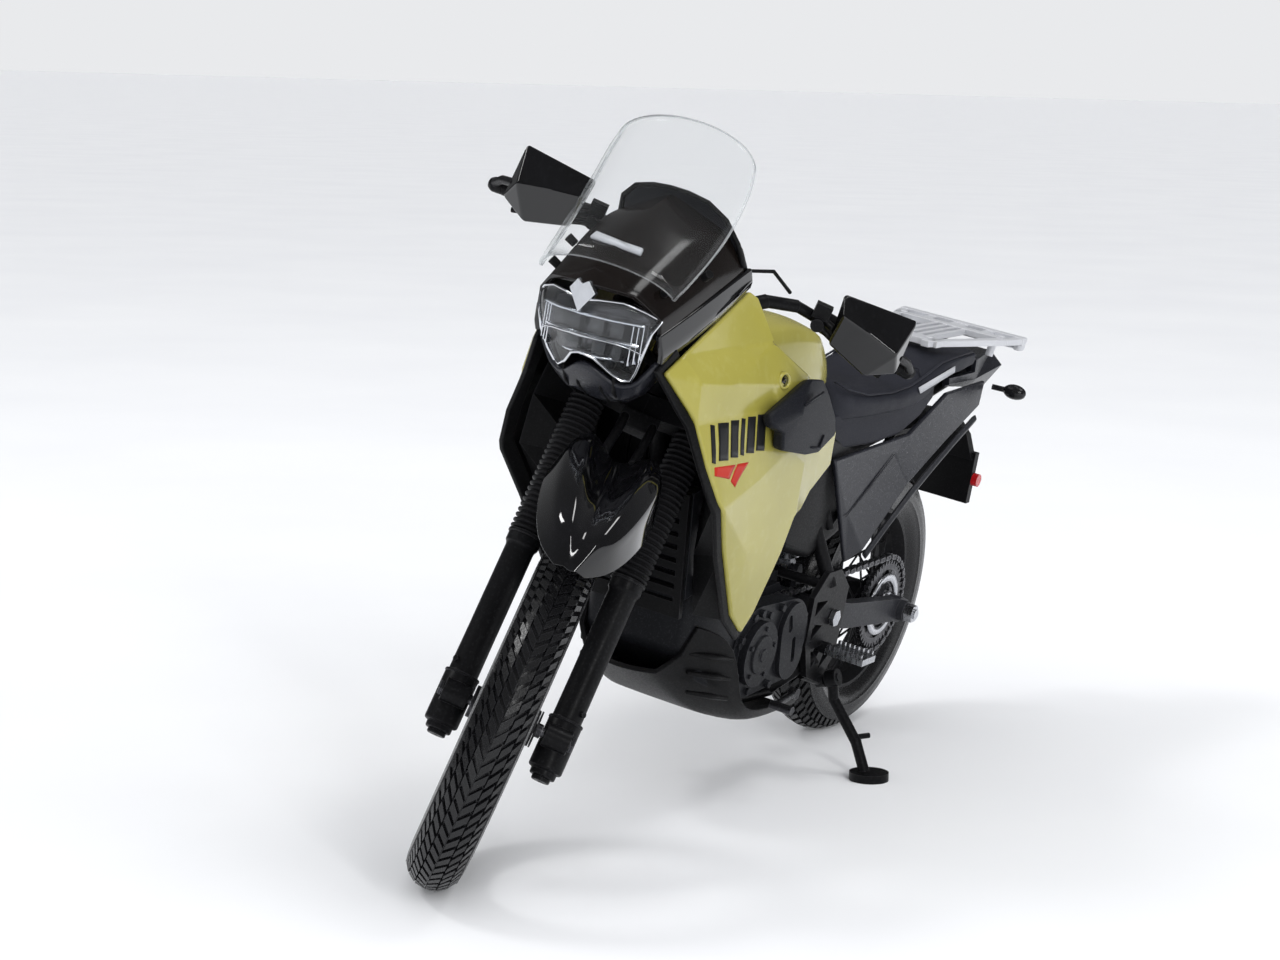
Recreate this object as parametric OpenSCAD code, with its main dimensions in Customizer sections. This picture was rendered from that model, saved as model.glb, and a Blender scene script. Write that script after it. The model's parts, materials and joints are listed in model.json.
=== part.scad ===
// Scale model of a single-cylinder dual-sport motorcycle, resting on its side stand.
// Every sub-part is drawn upright in the bike frame (x forward, y to the bike's left, z up,
// zero on the ground midway between the wheels) and then leaned on to the stand. The finished
// model's origin is the centre of the stand foot's sole, on the ground.

/* [Stance] */
// Distance between the two axles with the steering straight
wheelbase = 128.25; // [127:0.25:130]
// Angle of the steering axis from vertical, in degrees
rake = 30; // [29.5:0.5:30.5]
// Distance on the ground from the steering axis to the front contact point
trail = 10.2; // [9.8:0.1:10.6]
// Sideways lean on to the stand, in degrees
lean = 10; // [9.5:0.5:10.5]
// Turn of the steering to the left at rest, in degrees
steer_rest = 29; // [26:1:30]

/* [Wheels] */
// Outer radius of the front tyre
front_tyre_r = 29; // [28.6:0.1:29.2]
// Width of the front tyre
front_tyre_w = 9; // [8.6:0.1:9.2]
// Sideways set of the front wheel and mudguard between the fork legs
front_set = -0.7; // [-0.8:0.1:0]
// Radius of the front rim at the bead
front_rim_r = 22.2; // [21.8:0.1:22.6]
// Outer radius of the rear tyre
rear_tyre_r = 27.2; // [26.8:0.1:27.4]
// Width of the rear tyre
rear_tyre_w = 10.4; // [10:0.1:10.8]
// Radius of the rear rim at the bead
rear_rim_r = 18; // [17.6:0.1:18.4]
// Number of spokes in each wheel
spoke_count = 36; // [24:4:36]

/* [Fork] */
// Distance between the centres of the two fork legs
fork_spacing = 17.6; // [17.2:0.1:18]
// Forward set of the fork legs from the steering axis
fork_offset = 2.9; // [2.7:0.1:3.1]
// Radius of the fork tubes
tube_r = 1.8; // [1.7:0.05:1.85]

/* [Stand] */
// Place of the stand foot along the bike and to its left
foot_x = -30; // [-31:0.5:-29]
foot_y = 26.3; // [25:0.1:27]
// Radius of the stand foot
foot_r = 3.6; // [3:0.1:4]

/* [Fits] */
// Radial clearance of a turning or sliding fit
run_gap = 0.06; // [0.03:0.01:0.08]
// Gap between neighbouring parts that are fixed together
seam_gap = 0.15; // [0.1:0.05:0.2]

/* [Hidden] */
$fn = 48;

axle_t = trail * sin(rake) + front_tyre_r * cos(rake);
axle_n = front_tyre_r * sin(rake) - trail * cos(rake);
front_x = wheelbase / 2;
rear_x = -wheelbase / 2;
steer_foot = [front_x + trail, 0, 0];
steer_axis = [-sin(rake), 0, cos(rake)];

// ---- vectors and meshes ----

function unit(v) = v / norm(v);
function total(v) = v * [for (x = v) 1];
function turn_about(v, k, a) = v * cos(a) + cross(k, v) * sin(a) + k * (k * v) * (1 - cos(a));
function side(p, s) = [p[0], s * p[1], p[2]];
function sides(ps, s) = [for (p = ps) side(p, s)];
function toward(p, c, d) = p + d * unit(c - p);
function flip(t) = [t[0], t[2], t[1]];
function volume(p, f) = total([for (t = f) p[t[0]] * cross(p[t[1]], p[t[2]])]);

// Closed mesh whose triangles all turn the same way
module mesh(p, f) {
  polyhedron(p, volume(p, f) < 0 ? f : [for (t = f) flip(t)]);
}

// Two triangles of a grid cell whose first corner is a and whose rows are c points apart
function cell(a, c) = [[a, a + 1, a + c + 1], [a, a + c + 1, a + c]];

// Thick sheet between two grids of points that have the same rows and columns
module sheet(outer, inner) {
  rows = len(outer);
  cols = len(outer[0]);
  n = rows * cols;
  points = [for (g = [outer, inner]) for (r = g) for (p = r) p];
  skin = [for (i = [0:rows - 2]) for (j = [0:cols - 2]) each cell(i * cols + j, cols)];
  loop = concat(
    [for (j = [0:cols - 1]) j],
    [for (i = [1:rows - 1]) i * cols + cols - 1],
    [for (j = [cols - 2:-1:0]) (rows - 1) * cols + j],
    [for (i = [rows - 2:-1:1]) i * cols]
  );
  edge = [for (k = [0:len(loop) - 1]) [loop[k], loop[(k + 1) % len(loop)]]];
  mesh(points, concat(
    skin,
    [for (t = skin) flip(t) + [n, n, n]],
    [for (e = edge) each [[e[1], e[0], e[0] + n], [e[1], e[0] + n, e[1] + n]]]
  ));
}

// Thick panel from loose points and the triangles that join them
module panel(points, tris, shift) {
  n = len(points);
  edges = [for (t = tris) for (i = [0:2]) [t[i], t[(i + 1) % 3]]];
  rim = [for (e = edges) if (len([for (o = edges) if (o == [e[1], e[0]]) 1]) == 0) e];
  mesh(concat(points, [for (p = points) p + shift]), concat(
    tris,
    [for (t = tris) flip(t) + [n, n, n]],
    [for (e = rim) each [[e[1], e[0], e[0] + n], [e[1], e[0] + n, e[1] + n]]]
  ));
}

// Solid through a row of rings that all have the same number of points
module loft(rings) {
  c = len(rings[0]);
  last = (len(rings) - 1) * c;
  wall = [for (i = [0:len(rings) - 2]) for (j = [0:c - 1])
    each [[i * c + j, i * c + (j + 1) % c, (i + 1) * c + (j + 1) % c],
          [i * c + j, (i + 1) * c + (j + 1) % c, (i + 1) * c + j]]];
  caps = [for (j = [1:c - 2]) each [[0, j + 1, j], [last, last + j, last + j + 1]]];
  mesh([for (r = rings) for (p = r) p], concat(wall, caps));
}

// Straight round bar between two points
module rod(a, b, r) {
  d = b - a;
  translate(a) rotate([0, acos(d[2] / norm(d)), atan2(d[1], d[0])]) cylinder(h = norm(d), r = r);
}

// Bent round bar with a slightly larger ball in each bend
module pipe(points, r) {
  for (i = [0:len(points) - 2]) rod(points[i], points[i + 1], r);
  for (i = [1:len(points) - 2]) translate(points[i]) sphere(r = r * 1.03, $fn = 32);
}

// Round bar across the bike, from y0 to y1
module cross_bar(x, z, y0, y1, r) {
  translate([x, y1, z]) rotate([90, 0, 0]) cylinder(h = y1 - y0, r = r);
}

// Flat plate with a side-view outline, from y0 to y1
module side_plate(y0, y1) {
  translate([0, y1, 0]) rotate([90, 0, 0]) linear_extrude(y1 - y0) children();
}

// Box from its low corner to its high corner
module block(lo, hi) {
  translate(lo) cube(hi - lo);
}

// Rounded outline round two circles
module slot_shape(a, b, ra, rb) {
  hull() {
    translate(a) circle(r = ra, $fn = 32);
    translate(b) circle(r = rb, $fn = 32);
  }
}

// ---- placing ----

// Space whose z runs up the steering axis, from its foot on the ground
module fork_space() {
  translate(steer_foot) rotate([0, -rake, 0]) children();
}

module steered() {
  translate(steer_foot) rotate(a = steer_rest, v = steer_axis) translate(-steer_foot) children();
}

// Height of a bike-frame direction once the bike is leaned and pitched
function up_part(v, p) = -sin(p) * v[0] + cos(p) * (v[2] * cos(lean) - v[1] * sin(lean));
// Height of the lowest point of a round-section tyre with centre c, axle direction a and half width h
function low_point(c, a, r, h, p) = up_part(c, p) - (r - h) * sqrt(1 - pow(up_part(a, p), 2)) - h;
front_axle_dir = turn_about([0, 1, 0], steer_axis, steer_rest);
front_centre = steer_foot + turn_about([-trail, front_set, front_tyre_r], steer_axis, steer_rest);
rear_centre = [rear_x, 0, rear_tyre_r];
function front_low(p) = low_point(front_centre, front_axle_dir, front_tyre_r, front_tyre_w / 2, p);
function rear_low(p) = low_point(rear_centre, [0, 1, 0], rear_tyre_r, rear_tyre_w / 2, p);
// Pitch at which both tyres touch the ground, found in a few steps
function level_pitch(p, n) =
  n == 0 ? p : level_pitch(p + (front_low(p) - rear_low(p)) / wheelbase * 180 / PI, n - 1);
pitch = level_pitch(0, 6);
lift = -rear_low(pitch);

rest = [-foot_x, -foot_y, lift];

// Lean and pitch the bike so that its tyres and its stand foot touch the ground
module posed() {
  translate(rest) rotate([-lean, pitch, 0]) children();
}

// Finished place of a bike-frame point
function leaned(p) = let (y = p[1] * cos(lean) + p[2] * sin(lean), z = p[2] * cos(lean) - p[1] * sin(lean))
  rest + [p[0] * cos(pitch) + z * sin(pitch), y, z * cos(pitch) - p[0] * sin(pitch)];

// ---- frame ----

stem_r = 1.5;
head_low = 87.4;
head_high = 96.6;
pivot = [-29.5, 0, 32];
arm_in = 9;
arm_out = 11.5;
plate_in = arm_out + seam_gap;
plate_out = plate_in + 1.1;
pivot_bolt_r = 0.9;
shock_top = [-26, 0, 60];
shock_low = [-33.5, 0, 37.5];
shock_pin_r = 0.7;
stand_pivot = [-31, 14.3, 20.4];
stand_tilt = 25;
stand_dir = [0, cos(stand_tilt), sin(stand_tilt)];
stand_pin_r = 0.7;
rail_y = 5.5;

module pivot_plate(s) {
  y0 = s > 0 ? plate_in : -plate_out;
  side_plate(y0, y0 + plate_out - plate_in) difference() {
    polygon([
      [-20.5, 37], [-20.5, 28], [-23.5, 21.5], [-29, 19.5], [-34, 24], [-34.6, 37], [-30, 41], [-25, 41]
    ]);
    polygon([[-22, 36], [-22, 33.2], [-26.6, 35.6]]);
    polygon([[-22, 31.8], [-22, 28.6], [-26, 31]]);
    polygon([[-23, 26.8], [-24.6, 23], [-28, 27.2]]);
    polygon([[-27.5, 22.2], [-31.5, 24.6], [-30, 27.4]]);
  }
}

module main_frame() {
  color("#17181a") posed() difference() {
    union() {
      fork_space() translate([0, 0, head_low]) cylinder(h = head_high - head_low, r = 2.7);
      rod([27, 0, 79.4], [-20, 0, 68.4], 2.2);
      rod([26.2, 0, 76], [18, 0, 33], 1.6);
      for (s = [-1, 1]) {
        rod(side([18, 0.6, 34], s), side([11, 6.8, 22.6], s), 1.1);
        rod(side([11.6, 6.4, 23.4], s), side([-4.6, 6.6, 18.4], s), 1.04);
        rod(side([-4, 6.6, 18.6], s), side([-22, 6.6, 17.4], s), 1);
        rod(side([-21, 6.2, 17.6], s), side([-27, 12.2, 24.6], s), 1.2);
        rod(side([-27.4, 12.2, 38], s), side([-20.4, 0.4, 67.6], s), 1.3);
        rod(side([-27.8, plate_in + 0.2, 26.6], s), side([-27.8, 14.2, 26.6], s), 1.1);
        pivot_plate(s);
      }
      cross_bar(-24, 38.8, -plate_in - 0.4, plate_in + 0.4, 0.9);
      rod([-25.4, 10.8, 21.4], stand_pivot - stand_dir * 2.2, 1.1);
      rod(stand_pivot - stand_dir * 2.8, stand_pivot - stand_dir * 1.25, 1.4);
      rod(stand_pivot - stand_dir * 1.2, stand_pivot + stand_dir * 1.7, stand_pin_r);
      rod([29, 0, 80], [44, 0, 88.5], 1);
    }
    fork_space() translate([0, 0, head_low - 1]) cylinder(h = 12, r = stem_r + run_gap);
    cross_bar(pivot[0], pivot[2], -20, 20, pivot_bolt_r + 0.03);
  }
}

module subframe() {
  color("#17181a") posed() {
    for (s = [-1, 1]) {
      rod(side([-23, 5.4, 62], s), side([-53, rail_y, 64.4], s), 0.9);
      rod(side([-52, rail_y, 64.2], s), side([-86, rail_y + 0.1, 71], s), 0.88);
      rod(side([-28, 9.3, 48.6], s), side([-66, rail_y, 67.2], s), 0.7);
      rod(side([-24, 5.4, 61.8], s), side([-28.4, 9.5, 48], s), 0.75);
      rod(side([-24.6, 5.2, 62], s), side(shock_top + [0, 2.1, 0], s), 0.82);
    }
    cross_bar(-84.6, 70.8, -rail_y, rail_y, 0.72);
    cross_bar(-60, 65.9, -rail_y, rail_y, 0.72);
    cross_bar(-30, 62.5, -rail_y, rail_y, 0.68);
    cross_bar(shock_top[0], shock_top[2], -2.6, 2.6, shock_pin_r);
  }
}

module swingarm_bolt() {
  color("#8c8f94") posed() {
    cross_bar(pivot[0], pivot[2], -plate_out - 0.9, plate_out + 0.9, pivot_bolt_r);
    for (y = [plate_out + 1.05, -plate_out - 0.15]) translate([pivot[0], y, pivot[2]])
      rotate([90, 0, 0]) cylinder(h = 0.9, r = 1.6, $fn = 6);
  }
}

// ---- engine ----

module engine_crankcase() {
  color("#232427") posed() difference() {
    union() {
      side_plate(-8.5, 5.6)
        polygon([[-24, 21.4], [-4, 21], [6, 26], [11, 33], [8, 37], [-20, 38], [-25, 33]]);
      side_plate(5.5, 8.5) polygon([[-8, 21.1], [-4, 21], [6, 26], [11, 33], [8, 37], [-8, 37.6]]);
      cross_bar(-13.5, 27, -8.5, 5.6, 6.6);
      block([-22, -5, 37.5], [-12, 4, 39.4]);
    }
    cross_bar(-24, 38.8, -20, 20, 1.3);
    block([-40, -20, 0], [-22.6, 20, 60]);
  }
}

module engine_cylinder() {
  color("#1d1e20") posed() translate([-1, 0, 37.2]) rotate([0, 14, 0]) {
    translate([0, 0, 2]) cylinder(h = 19.4, r = 5.6);
    for (i = [0:6]) translate([-6.5, -6.5, 2.8 + i * 1.55]) cube([13, 13, 0.75]);
    translate([-6, -6.3, 13.6]) cube([12, 12.6, 5.2]);
    translate([-4.8, -5.2, 18.7]) cube([9.6, 10.4, 2.8]);
    translate([5.5, 0, 15.6]) rotate([0, 90, 0]) cylinder(h = 2, r = 1.9);
  }
}

module engine_cover_left() {
  color("#2a2b2e") posed() difference() {
    union() {
      side_plate(8.65, 12.4) slot_shape([0, 30.5], [-12.8, 30.4], 8.2, 7.6);
      cross_bar(0, 30.5, 12.3, 13.9, 5.8);
      side_plate(12.3, 13.4) slot_shape([-12.8, 33], [-13.6, 27.5], 4.6, 4.2);
      for (a = [20:50:340]) cross_bar(0 + 7.1 * cos(a), 30.5 + 7.1 * sin(a), 12.3, 13, 0.65);
    }
    side_plate(12.9, 14) slot_shape([-10.6, 35], [-11.4, 33], 0.7, 0.7);
    side_plate(12.6, 14) slot_shape([-13.6, 30.6], [-14.4, 27], 0.7, 0.7);
    side_plate(8, 9.6) translate([-16.5, 32]) circle(r = 5.2);
  }
}

module engine_cover_right() {
  color("#2a2b2e") posed() {
    side_plate(-11.8, -8.65) slot_shape([-1, 29.5], [-13.5, 31], 7.6, 6.4);
    cross_bar(-13, 31, -13.2, -11.7, 4.9);
    cross_bar(0, 28, -12.9, -11.7, 3.4);
  }
}

sprocket_axis = [-16.5, 32];
front_sprocket_r = 2;

module front_sprocket() {
  color("#6e7176") posed() {
    cross_bar(sprocket_axis[0], sprocket_axis[1], 6.45, 7.35, front_sprocket_r - 0.5);
    cross_bar(sprocket_axis[0], sprocket_axis[1], 5.8, 8.3, 1.1);
    for (i = [0:13]) translate([sprocket_axis[0], 6.9, sprocket_axis[1]]) rotate([0, i * 360 / 14, 0])
      translate([front_sprocket_r - 0.7, -0.35, -0.25]) cube([0.7, 0.7, 0.5]);
  }
}

module exhaust_header() {
  color("#3a3a3c") posed() pipe([
    [12.2, 0, 51.4], [15, -4, 50.6], [12, -11.5, 48], [2, -13.7, 45.4], [-30, -14, 45.4], [-37, -17.6, 47.4]
  ], 1.5);
}

module muffler() {
  color("#101112") posed() {
    rod([-38.6, -18.4, 47.9], [-41.5, -18.4, 48.6], 2.4);
    rod([-41.4, -18.4, 48.55], [-80, -18, 57.2], 4.1);
    rod([-79.9, -18, 57.18], [-84, -18, 58.1], 3.2);
    rod([-83.9, -18, 58.08], [-86.4, -18, 58.64], 1.3);
    rod([-60, -16.6, 55], [-60, -13.6, 58.8], 0.8);
  }
}

// ---- bodywork: lower ----

skid_rows = [
  [[20, 11, 38], [22.5, 10, 33], [24.5, 7, 29.5], [25.8, 0, 28.6]],
  [[9.4, 14.2, 35], [11, 13.8, 28], [13.5, 8, 21.5], [15, 0, 22.6]],
  [[5.4, 14, 20.8], [4.5, 12.7, 18.9], [3, 9, 17.8], [2, 0, 17.2]],
  [[-8, 13, 18.4], [-8, 12, 16.5], [-8, 9, 14.6], [-8, 0, 14.4]],
  [[-26, 11, 17], [-26, 10.4, 15.4], [-26, 8, 13.8], [-26, 0, 13.7]]
];

// Full row of points from a half row that ends on the centre plane
function mirrored(half) = concat(half, [for (i = [len(half) - 2:-1:0]) side(half[i], -1)]);
function shrunk(rows, c, d) = [for (r = rows) [for (p = r) toward(p, [p[0] + c[0], 0, c[2]], d)]];

module skid_plate() {
  outer = [for (r = skid_rows) mirrored(r)];
  color("#1b1c1f") posed() sheet(outer, shrunk(outer, [-6, 0, 44], 0.9));
}

module radiator() {
  color("#2b2c2e") posed() translate([27.4, 0, 53.4]) rotate([0, 11, 0]) {
    translate([-1.4, -9.4, -9]) cube([2.4, 18.8, 18]);
    for (s = [-1, 1]) translate([-1.7, s > 0 ? 9.3 : -11, -9.4]) cube([3, 1.7, 18.8]);
    for (i = [0:11]) translate([0.9, -9.4, -8.6 + i * 1.5]) cube([0.35, 18.8, 0.5]);
  }
}

module radiator_guard() {
  posed() translate([29.4, 0, 52]) rotate([0, 11, 0]) difference() {
    translate([-0.4, -11, -11.4]) cube([1, 22, 22]);
    for (s = [-1, 1], i = [0:7]) translate([-1, s > 0 ? 1 : -9.6, -8.6 + i * 2.3]) cube([3, 8.6, 1]);
  }
}

module inner_panel(s) {
  outer = [[44, 11.6, 80.5], [41.6, 15, 73.5], [37.6, 18.4, 64], [29, 16.9, 53.4], [18.6, 15.6, 40.2]];
  inner = [[27, 13.3, 76], [26.5, 12.8, 70], [28, 11.4, 62], [27.6, 11.4, 52], [24, 11.4, 41]];
  shift = [-1, 0, 0];
  posed() sheet(
    [sides(outer, s), sides(inner, s)],
    [[for (p = outer) side(p, s) + shift], [for (p = inner) side(p, s) + shift]]
  );
}

module inner_panels() {
  color("#0f1011") {
    for (s = [-1, 1]) inner_panel(s);
    radiator_guard();
  }
}

// ---- bodywork: tank and shrouds ----

function tank_ring(x, low, high, bottom, top) = let (m = bottom + (top - bottom) * 0.55) [
  [x, -low, bottom], [x, -high, m], [x, -high * 0.8, top - 1.2], [x, -high * 0.35, top],
  [x, high * 0.35, top], [x, high * 0.8, top - 1.2], [x, high, m], [x, low, bottom]
];

module fuel_tank() {
  color("#b5ab58") posed() difference() {
    loft([
      tank_ring(21, 5, 6.5, 76, 84), tank_ring(17, 8, 9, 70, 86.5), tank_ring(6, 10, 10.6, 66, 88),
      tank_ring(-8, 9.4, 10.4, 66, 87), tank_ring(-17, 7, 8.6, 68, 84), tank_ring(-20.5, 6, 7, 70.6, 80)
    ]);
    translate([0, 0, 76.2]) rotate([0, -13.2, 0]) block([-45, -3, -14], [40, 3, 0]);
    translate([4, 0, 86.5]) cylinder(h = 3, r = 3.1);
  }
}

module fuel_cap() {
  color("#2a2b2d") posed() translate([4, 0, 86.7]) {
    cylinder(h = 1.6, r = 2.9);
    translate([0, 0, 1.5]) cylinder(h = 0.6, r = 2.2);
    translate([-1.7, -0.4, 2]) cube([3.4, 0.8, 0.5]);
  }
}

shroud_points = [
  [49.5, 12, 84.2], [44.8, 16, 77.5], [43, 18, 72], [39.2, 21, 63.7], [30.5, 19, 53.6],
  [18.5, 18.2, 39], [12, 18.4, 46], [9, 18.8, 53], [7.7, 18.8, 59], [-0.3, 16.4, 56.7],
  [-11, 14.6, 62.5], [-12, 14.2, 70], [2, 16.6, 74], [6.8, 15.6, 81], [17.8, 14, 87],
  [23, 11.4, 95], [43.5, 14, 88], [24, 19, 66], [30, 16.4, 80]
];
shroud_tris = [
  [0, 1, 16], [1, 18, 16], [16, 18, 15], [15, 18, 14], [14, 18, 13], [1, 2, 18], [2, 17, 18],
  [18, 17, 13], [13, 17, 12], [2, 3, 17], [3, 4, 17], [4, 7, 17], [4, 5, 7], [5, 6, 7],
  [7, 8, 17], [8, 12, 17], [8, 9, 12], [9, 10, 12], [10, 11, 12]
];

module shroud(s) {
  color("#c2b968") posed() difference() {
    panel(sides(shroud_points, s), s > 0 ? shroud_tris : [for (t = shroud_tris) flip(t)], [0, -1.2 * s, 0]);
    cross_bar(16.3, 80.8, -30, 30, 1);
  }
}
module shroud_left() { shroud(1); }
module shroud_right() { shroud(-1); }

pad_points = [
  [22, 18.7, 76.5], [16.5, 20, 69], [13, 20, 66.2], [-1, 18, 66.5], [-10.5, 16, 69.6],
  [-8.5, 14.6, 78], [4, 16.8, 81.4], [8, 17.6, 80.5], [6, 18.6, 74]
];
pad_tris = [
  [0, 1, 8], [1, 2, 8], [2, 3, 8], [3, 4, 8], [4, 5, 8], [5, 6, 8], [6, 7, 8], [7, 0, 8]
];

module shroud_pad(s) {
  color("#3b3c40") posed() panel(
    sides([for (p = pad_points) p + [0, 1.35, 0]], s),
    s > 0 ? pad_tris : [for (t = pad_tris) flip(t)],
    [0, -1 * s, 0]
  );
}
module shroud_pad_left() { shroud_pad(1); }
module shroud_pad_right() { shroud_pad(-1); }

// ---- bodywork: nose ----

cowl_rows = [
  [[49, 9.8, 86.4], [52, 11, 92.4], [55, 7.4, 95.6], [58, 0, 96.2]],
  [[42, 10.2, 88.4], [44, 11.6, 95.2], [46.8, 8.6, 100], [50.4, 0, 102]],
  [[34, 10.2, 91.8], [35.2, 12, 98.6], [39, 9.2, 104], [42, 0, 106.8]],
  [[26, 9.8, 94.8], [27, 11.6, 99], [31.6, 9.4, 104.6], [34.5, 0, 109.6]]
];

module nose_cowl() {
  outer = [for (r = cowl_rows) mirrored(r)];
  color("#16120f") posed() sheet(outer, shrunk(outer, [-4, 0, 84], 0.9));
}

lens_rows = [
  [[52, 10.6, 91.6], [55.4, 6.6, 94.3], [57.6, 0, 95.2]],
  [[52.8, 9.6, 88], [56, 6, 90], [57.6, 0, 90.6]],
  [[51.6, 8.4, 84], [54.6, 5.2, 85], [56.4, 0, 86.6]],
  [[50.6, 6.8, 81.6], [51.6, 5, 81.4], [55.2, 0, 85.2]]
];

module headlight_lens() {
  outer = [for (r = lens_rows) mirrored(r)];
  color([0.86, 0.9, 0.92, 0.45]) posed() sheet(outer, shrunk(outer, [-14, 0, 89], 0.7));
}

module headlight_reflector() {
  outer = [for (r = shrunk(lens_rows, [-14, 0, 89], 1.4)) mirrored(r)];
  back = [for (r = shrunk(lens_rows, [-14, 0, 89], 3.4)) mirrored(r)];
  color("#c9ccd0") posed() sheet(outer, back);
}

housing_rows = [
  [[49.8, 10.4, 84.6], [49.6, 7.4, 79.9], [53.4, 0, 83.2]],
  [[47.4, 9.4, 82.6], [46.8, 6.4, 77.8], [47.8, 0, 76.9]],
  [[42, 9, 84.6], [41, 6, 81], [41, 0, 80]]
];

module headlight_housing() {
  outer = [for (r = housing_rows) mirrored(r)];
  color("#111214") posed() sheet(outer, shrunk(outer, [-3, 0, 92], 0.9));
}

// Half section of the windscreen from its centre point to its side point
function screen_row(c, e) = [for (i = [6:-1:0]) let (a = i * 15)
  [e[0] + (c[0] - e[0]) * cos(a), e[1] * sin(a), e[2] + (c[2] - e[2]) * cos(a)]];
screen_rows = [
  screen_row([55.2, 0, 99.6], [51, 12.2, 95.6]), screen_row([48.6, 0, 106.6], [42.6, 13.2, 101.6]),
  screen_row([41.8, 0, 113.2], [37.4, 13.4, 107.4]), screen_row([37, 0, 118.2], [34.4, 13.4, 112.4]),
  screen_row([34, 0, 121], [33, 12.6, 115.4])
];

module windscreen() {
  outer = [for (r = screen_rows) mirrored(r)];
  color([0.9, 0.93, 0.95, 0.3]) posed() sheet(outer, shrunk(outer, [-12, 0, 96], 0.6));
}

module instrument_panel() {
  color("#1a1b1c") posed() translate([33.5, 0, 100.4]) rotate([0, -38, 0]) {
    translate([-1.6, -6.6, -3.2]) cube([3, 13.2, 5.6]);
    for (y = [-3.5, 3.3]) translate([-2.3, y, -0.4]) rotate([0, 90, 0]) cylinder(h = 1, r = 2.3);
    translate([1.3, -2, -1.5]) cube([3, 4, 2]);
  }
}

// ---- bodywork: seat and tail ----

function seat_ring(x, half, bottom, top, sag) = [
  [x, -half, bottom], [x, -half - 0.4, bottom + (top - bottom) * 0.5], [x, -half * 0.82, top - 0.9],
  [x, -half * 0.4, top], [x, 0, top - sag], [x, half * 0.4, top], [x, half * 0.82, top - 0.9],
  [x, half + 0.4, bottom + (top - bottom) * 0.5], [x, half, bottom]
];

module seat() {
  color("#3d3e44") posed() difference() {
    loft([
      seat_ring(-21, 7, 66, 77, 0), seat_ring(-25, 9, 62.8, 75, 0), seat_ring(-38, 9.8, 62.8, 73, 0.2),
      seat_ring(-50, 10, 63.4, 73, 0.2), seat_ring(-58, 10, 66, 75.4, 0), seat_ring(-66, 9.4, 69.6, 76.8, 0),
      seat_ring(-78, 8.6, 72.4, 76.9, 0), seat_ring(-86, 7.6, 73, 76.4, 0)
    ]);
    block([-61, -7, 55], [-20, 7, 68.2]);
    block([-90, -7, 60], [-60, 7, 72.6]);
  }
}

cover_points = [
  [-23, 10.4, 61.4], [-33, 11.6, 41.5], [-37, 13.4, 44.4], [-50, 13.4, 55], [-68, 11.8, 60.4],
  [-88, 9.6, 65], [-90, 9, 69.8], [-70, 9.8, 68.6], [-53, 10.8, 62]
];
cover_tris = [[0, 1, 2], [0, 2, 8], [2, 3, 8], [8, 3, 7], [3, 4, 7], [7, 4, 6], [4, 5, 6]];

module side_cover(s) {
  color("#27282c") posed() panel(
    sides(cover_points, s), s > 0 ? cover_tris : [for (t = cover_tris) flip(t)], [0, -1 * s, 0]
  );
}
module side_cover_left() { side_cover(1); }
module side_cover_right() { side_cover(-1); }

// Ring round both sides of the tail from its low, wide and high points on the left
function tail_ring(low, wide, high) = [wide, high, side(high, -1), side(wide, -1), side(low, -1), low];

module tail_cowl() {
  color("#1e1f21") posed() difference() {
    loft([
      tail_ring([-74, 7.2, 69.6], [-74, 8.2, 70.2], [-74, 8, 71.4]),
      tail_ring([-88, 7, 68.2], [-88, 7.8, 70], [-88, 7.6, 74]),
      tail_ring([-96.6, 5.4, 66], [-100.4, 7.8, 71.8], [-98.8, 5.6, 74.4])
    ]);
    block([-89, -6.8, 60], [-70, 6.8, 80]);
    block([-87, -9.5, 71.4], [-70, 9.5, 80]);
  }
}

fender_half = 5.6;

module rear_fender() {
  path = [[-37, 57.5], [-45, 60.4], [-55, 61.6], [-70, 61.4], [-82, 61.6], [-91, 61]];
  row = function (p, up) [for (y = [-1:0.5:1]) let (w = y * fender_half) [p[0], w, p[1] + up - 0.02 * w * w]];
  color("#161718") posed() {
    sheet([for (p = path) row(p, 0.9)], [for (p = path) row(p, 0)]);
    loft([for (q = [[-88, 61.4, 5.6], [-91.4, 58, 7], [-92.6, 53, 8.6]])
      [[q[0], -q[2], q[1]], [q[0], q[2], q[1]], [q[0] - 2.2, q[2], q[1]], [q[0] - 2.2, -q[2], q[1]]]]);
    block([-95.2, -9, 44], [-93.4, 9, 54.4]);
  }
}

module rear_rack() {
  color("#b9bcc2") posed() {
    difference() {
      translate([0, 0, 77.7]) linear_extrude(1.3) polygon([
        [-65, 6], [-70, 7.4], [-91.4, 13], [-96.3, 13.6],
        [-96.3, -13.6], [-91.4, -13], [-70, -7.4], [-65, -6]
      ]);
      for (y = [-4, 0, 4]) translate([-89, y - 1, 76]) cube([19, 2, 4]);
      for (s = [-1, 1]) translate([-93, s * 9 - 1.8, 76]) cube([6, 3.6, 4]);
    }
    for (s = [-1, 1]) {
      rod([-92.5, s * 8.2, 77.8], [-91.8, s * 8, 74.4], 0.8);
      rod([-95.2, s * 12.4, 78.2], [-95.2, s * 12.4, 76.4], 0.9);
    }
  }
}

module tail_light() {
  color("#b3161a") posed() {
    translate([-96.6, 0, 66]) rotate([0, -33.2, 0]) block([-1.1, -4.4, 1.2], [-0.15, 4.4, 5.4]);
    translate([-94.4, 9.15, 49]) rotate([-90, 0, 0]) cylinder(h = 1.2, r = 1.3);
    translate([-94.4, -9.15, 49]) rotate([90, 0, 0]) cylinder(h = 1.2, r = 1.3);
  }
}

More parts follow.
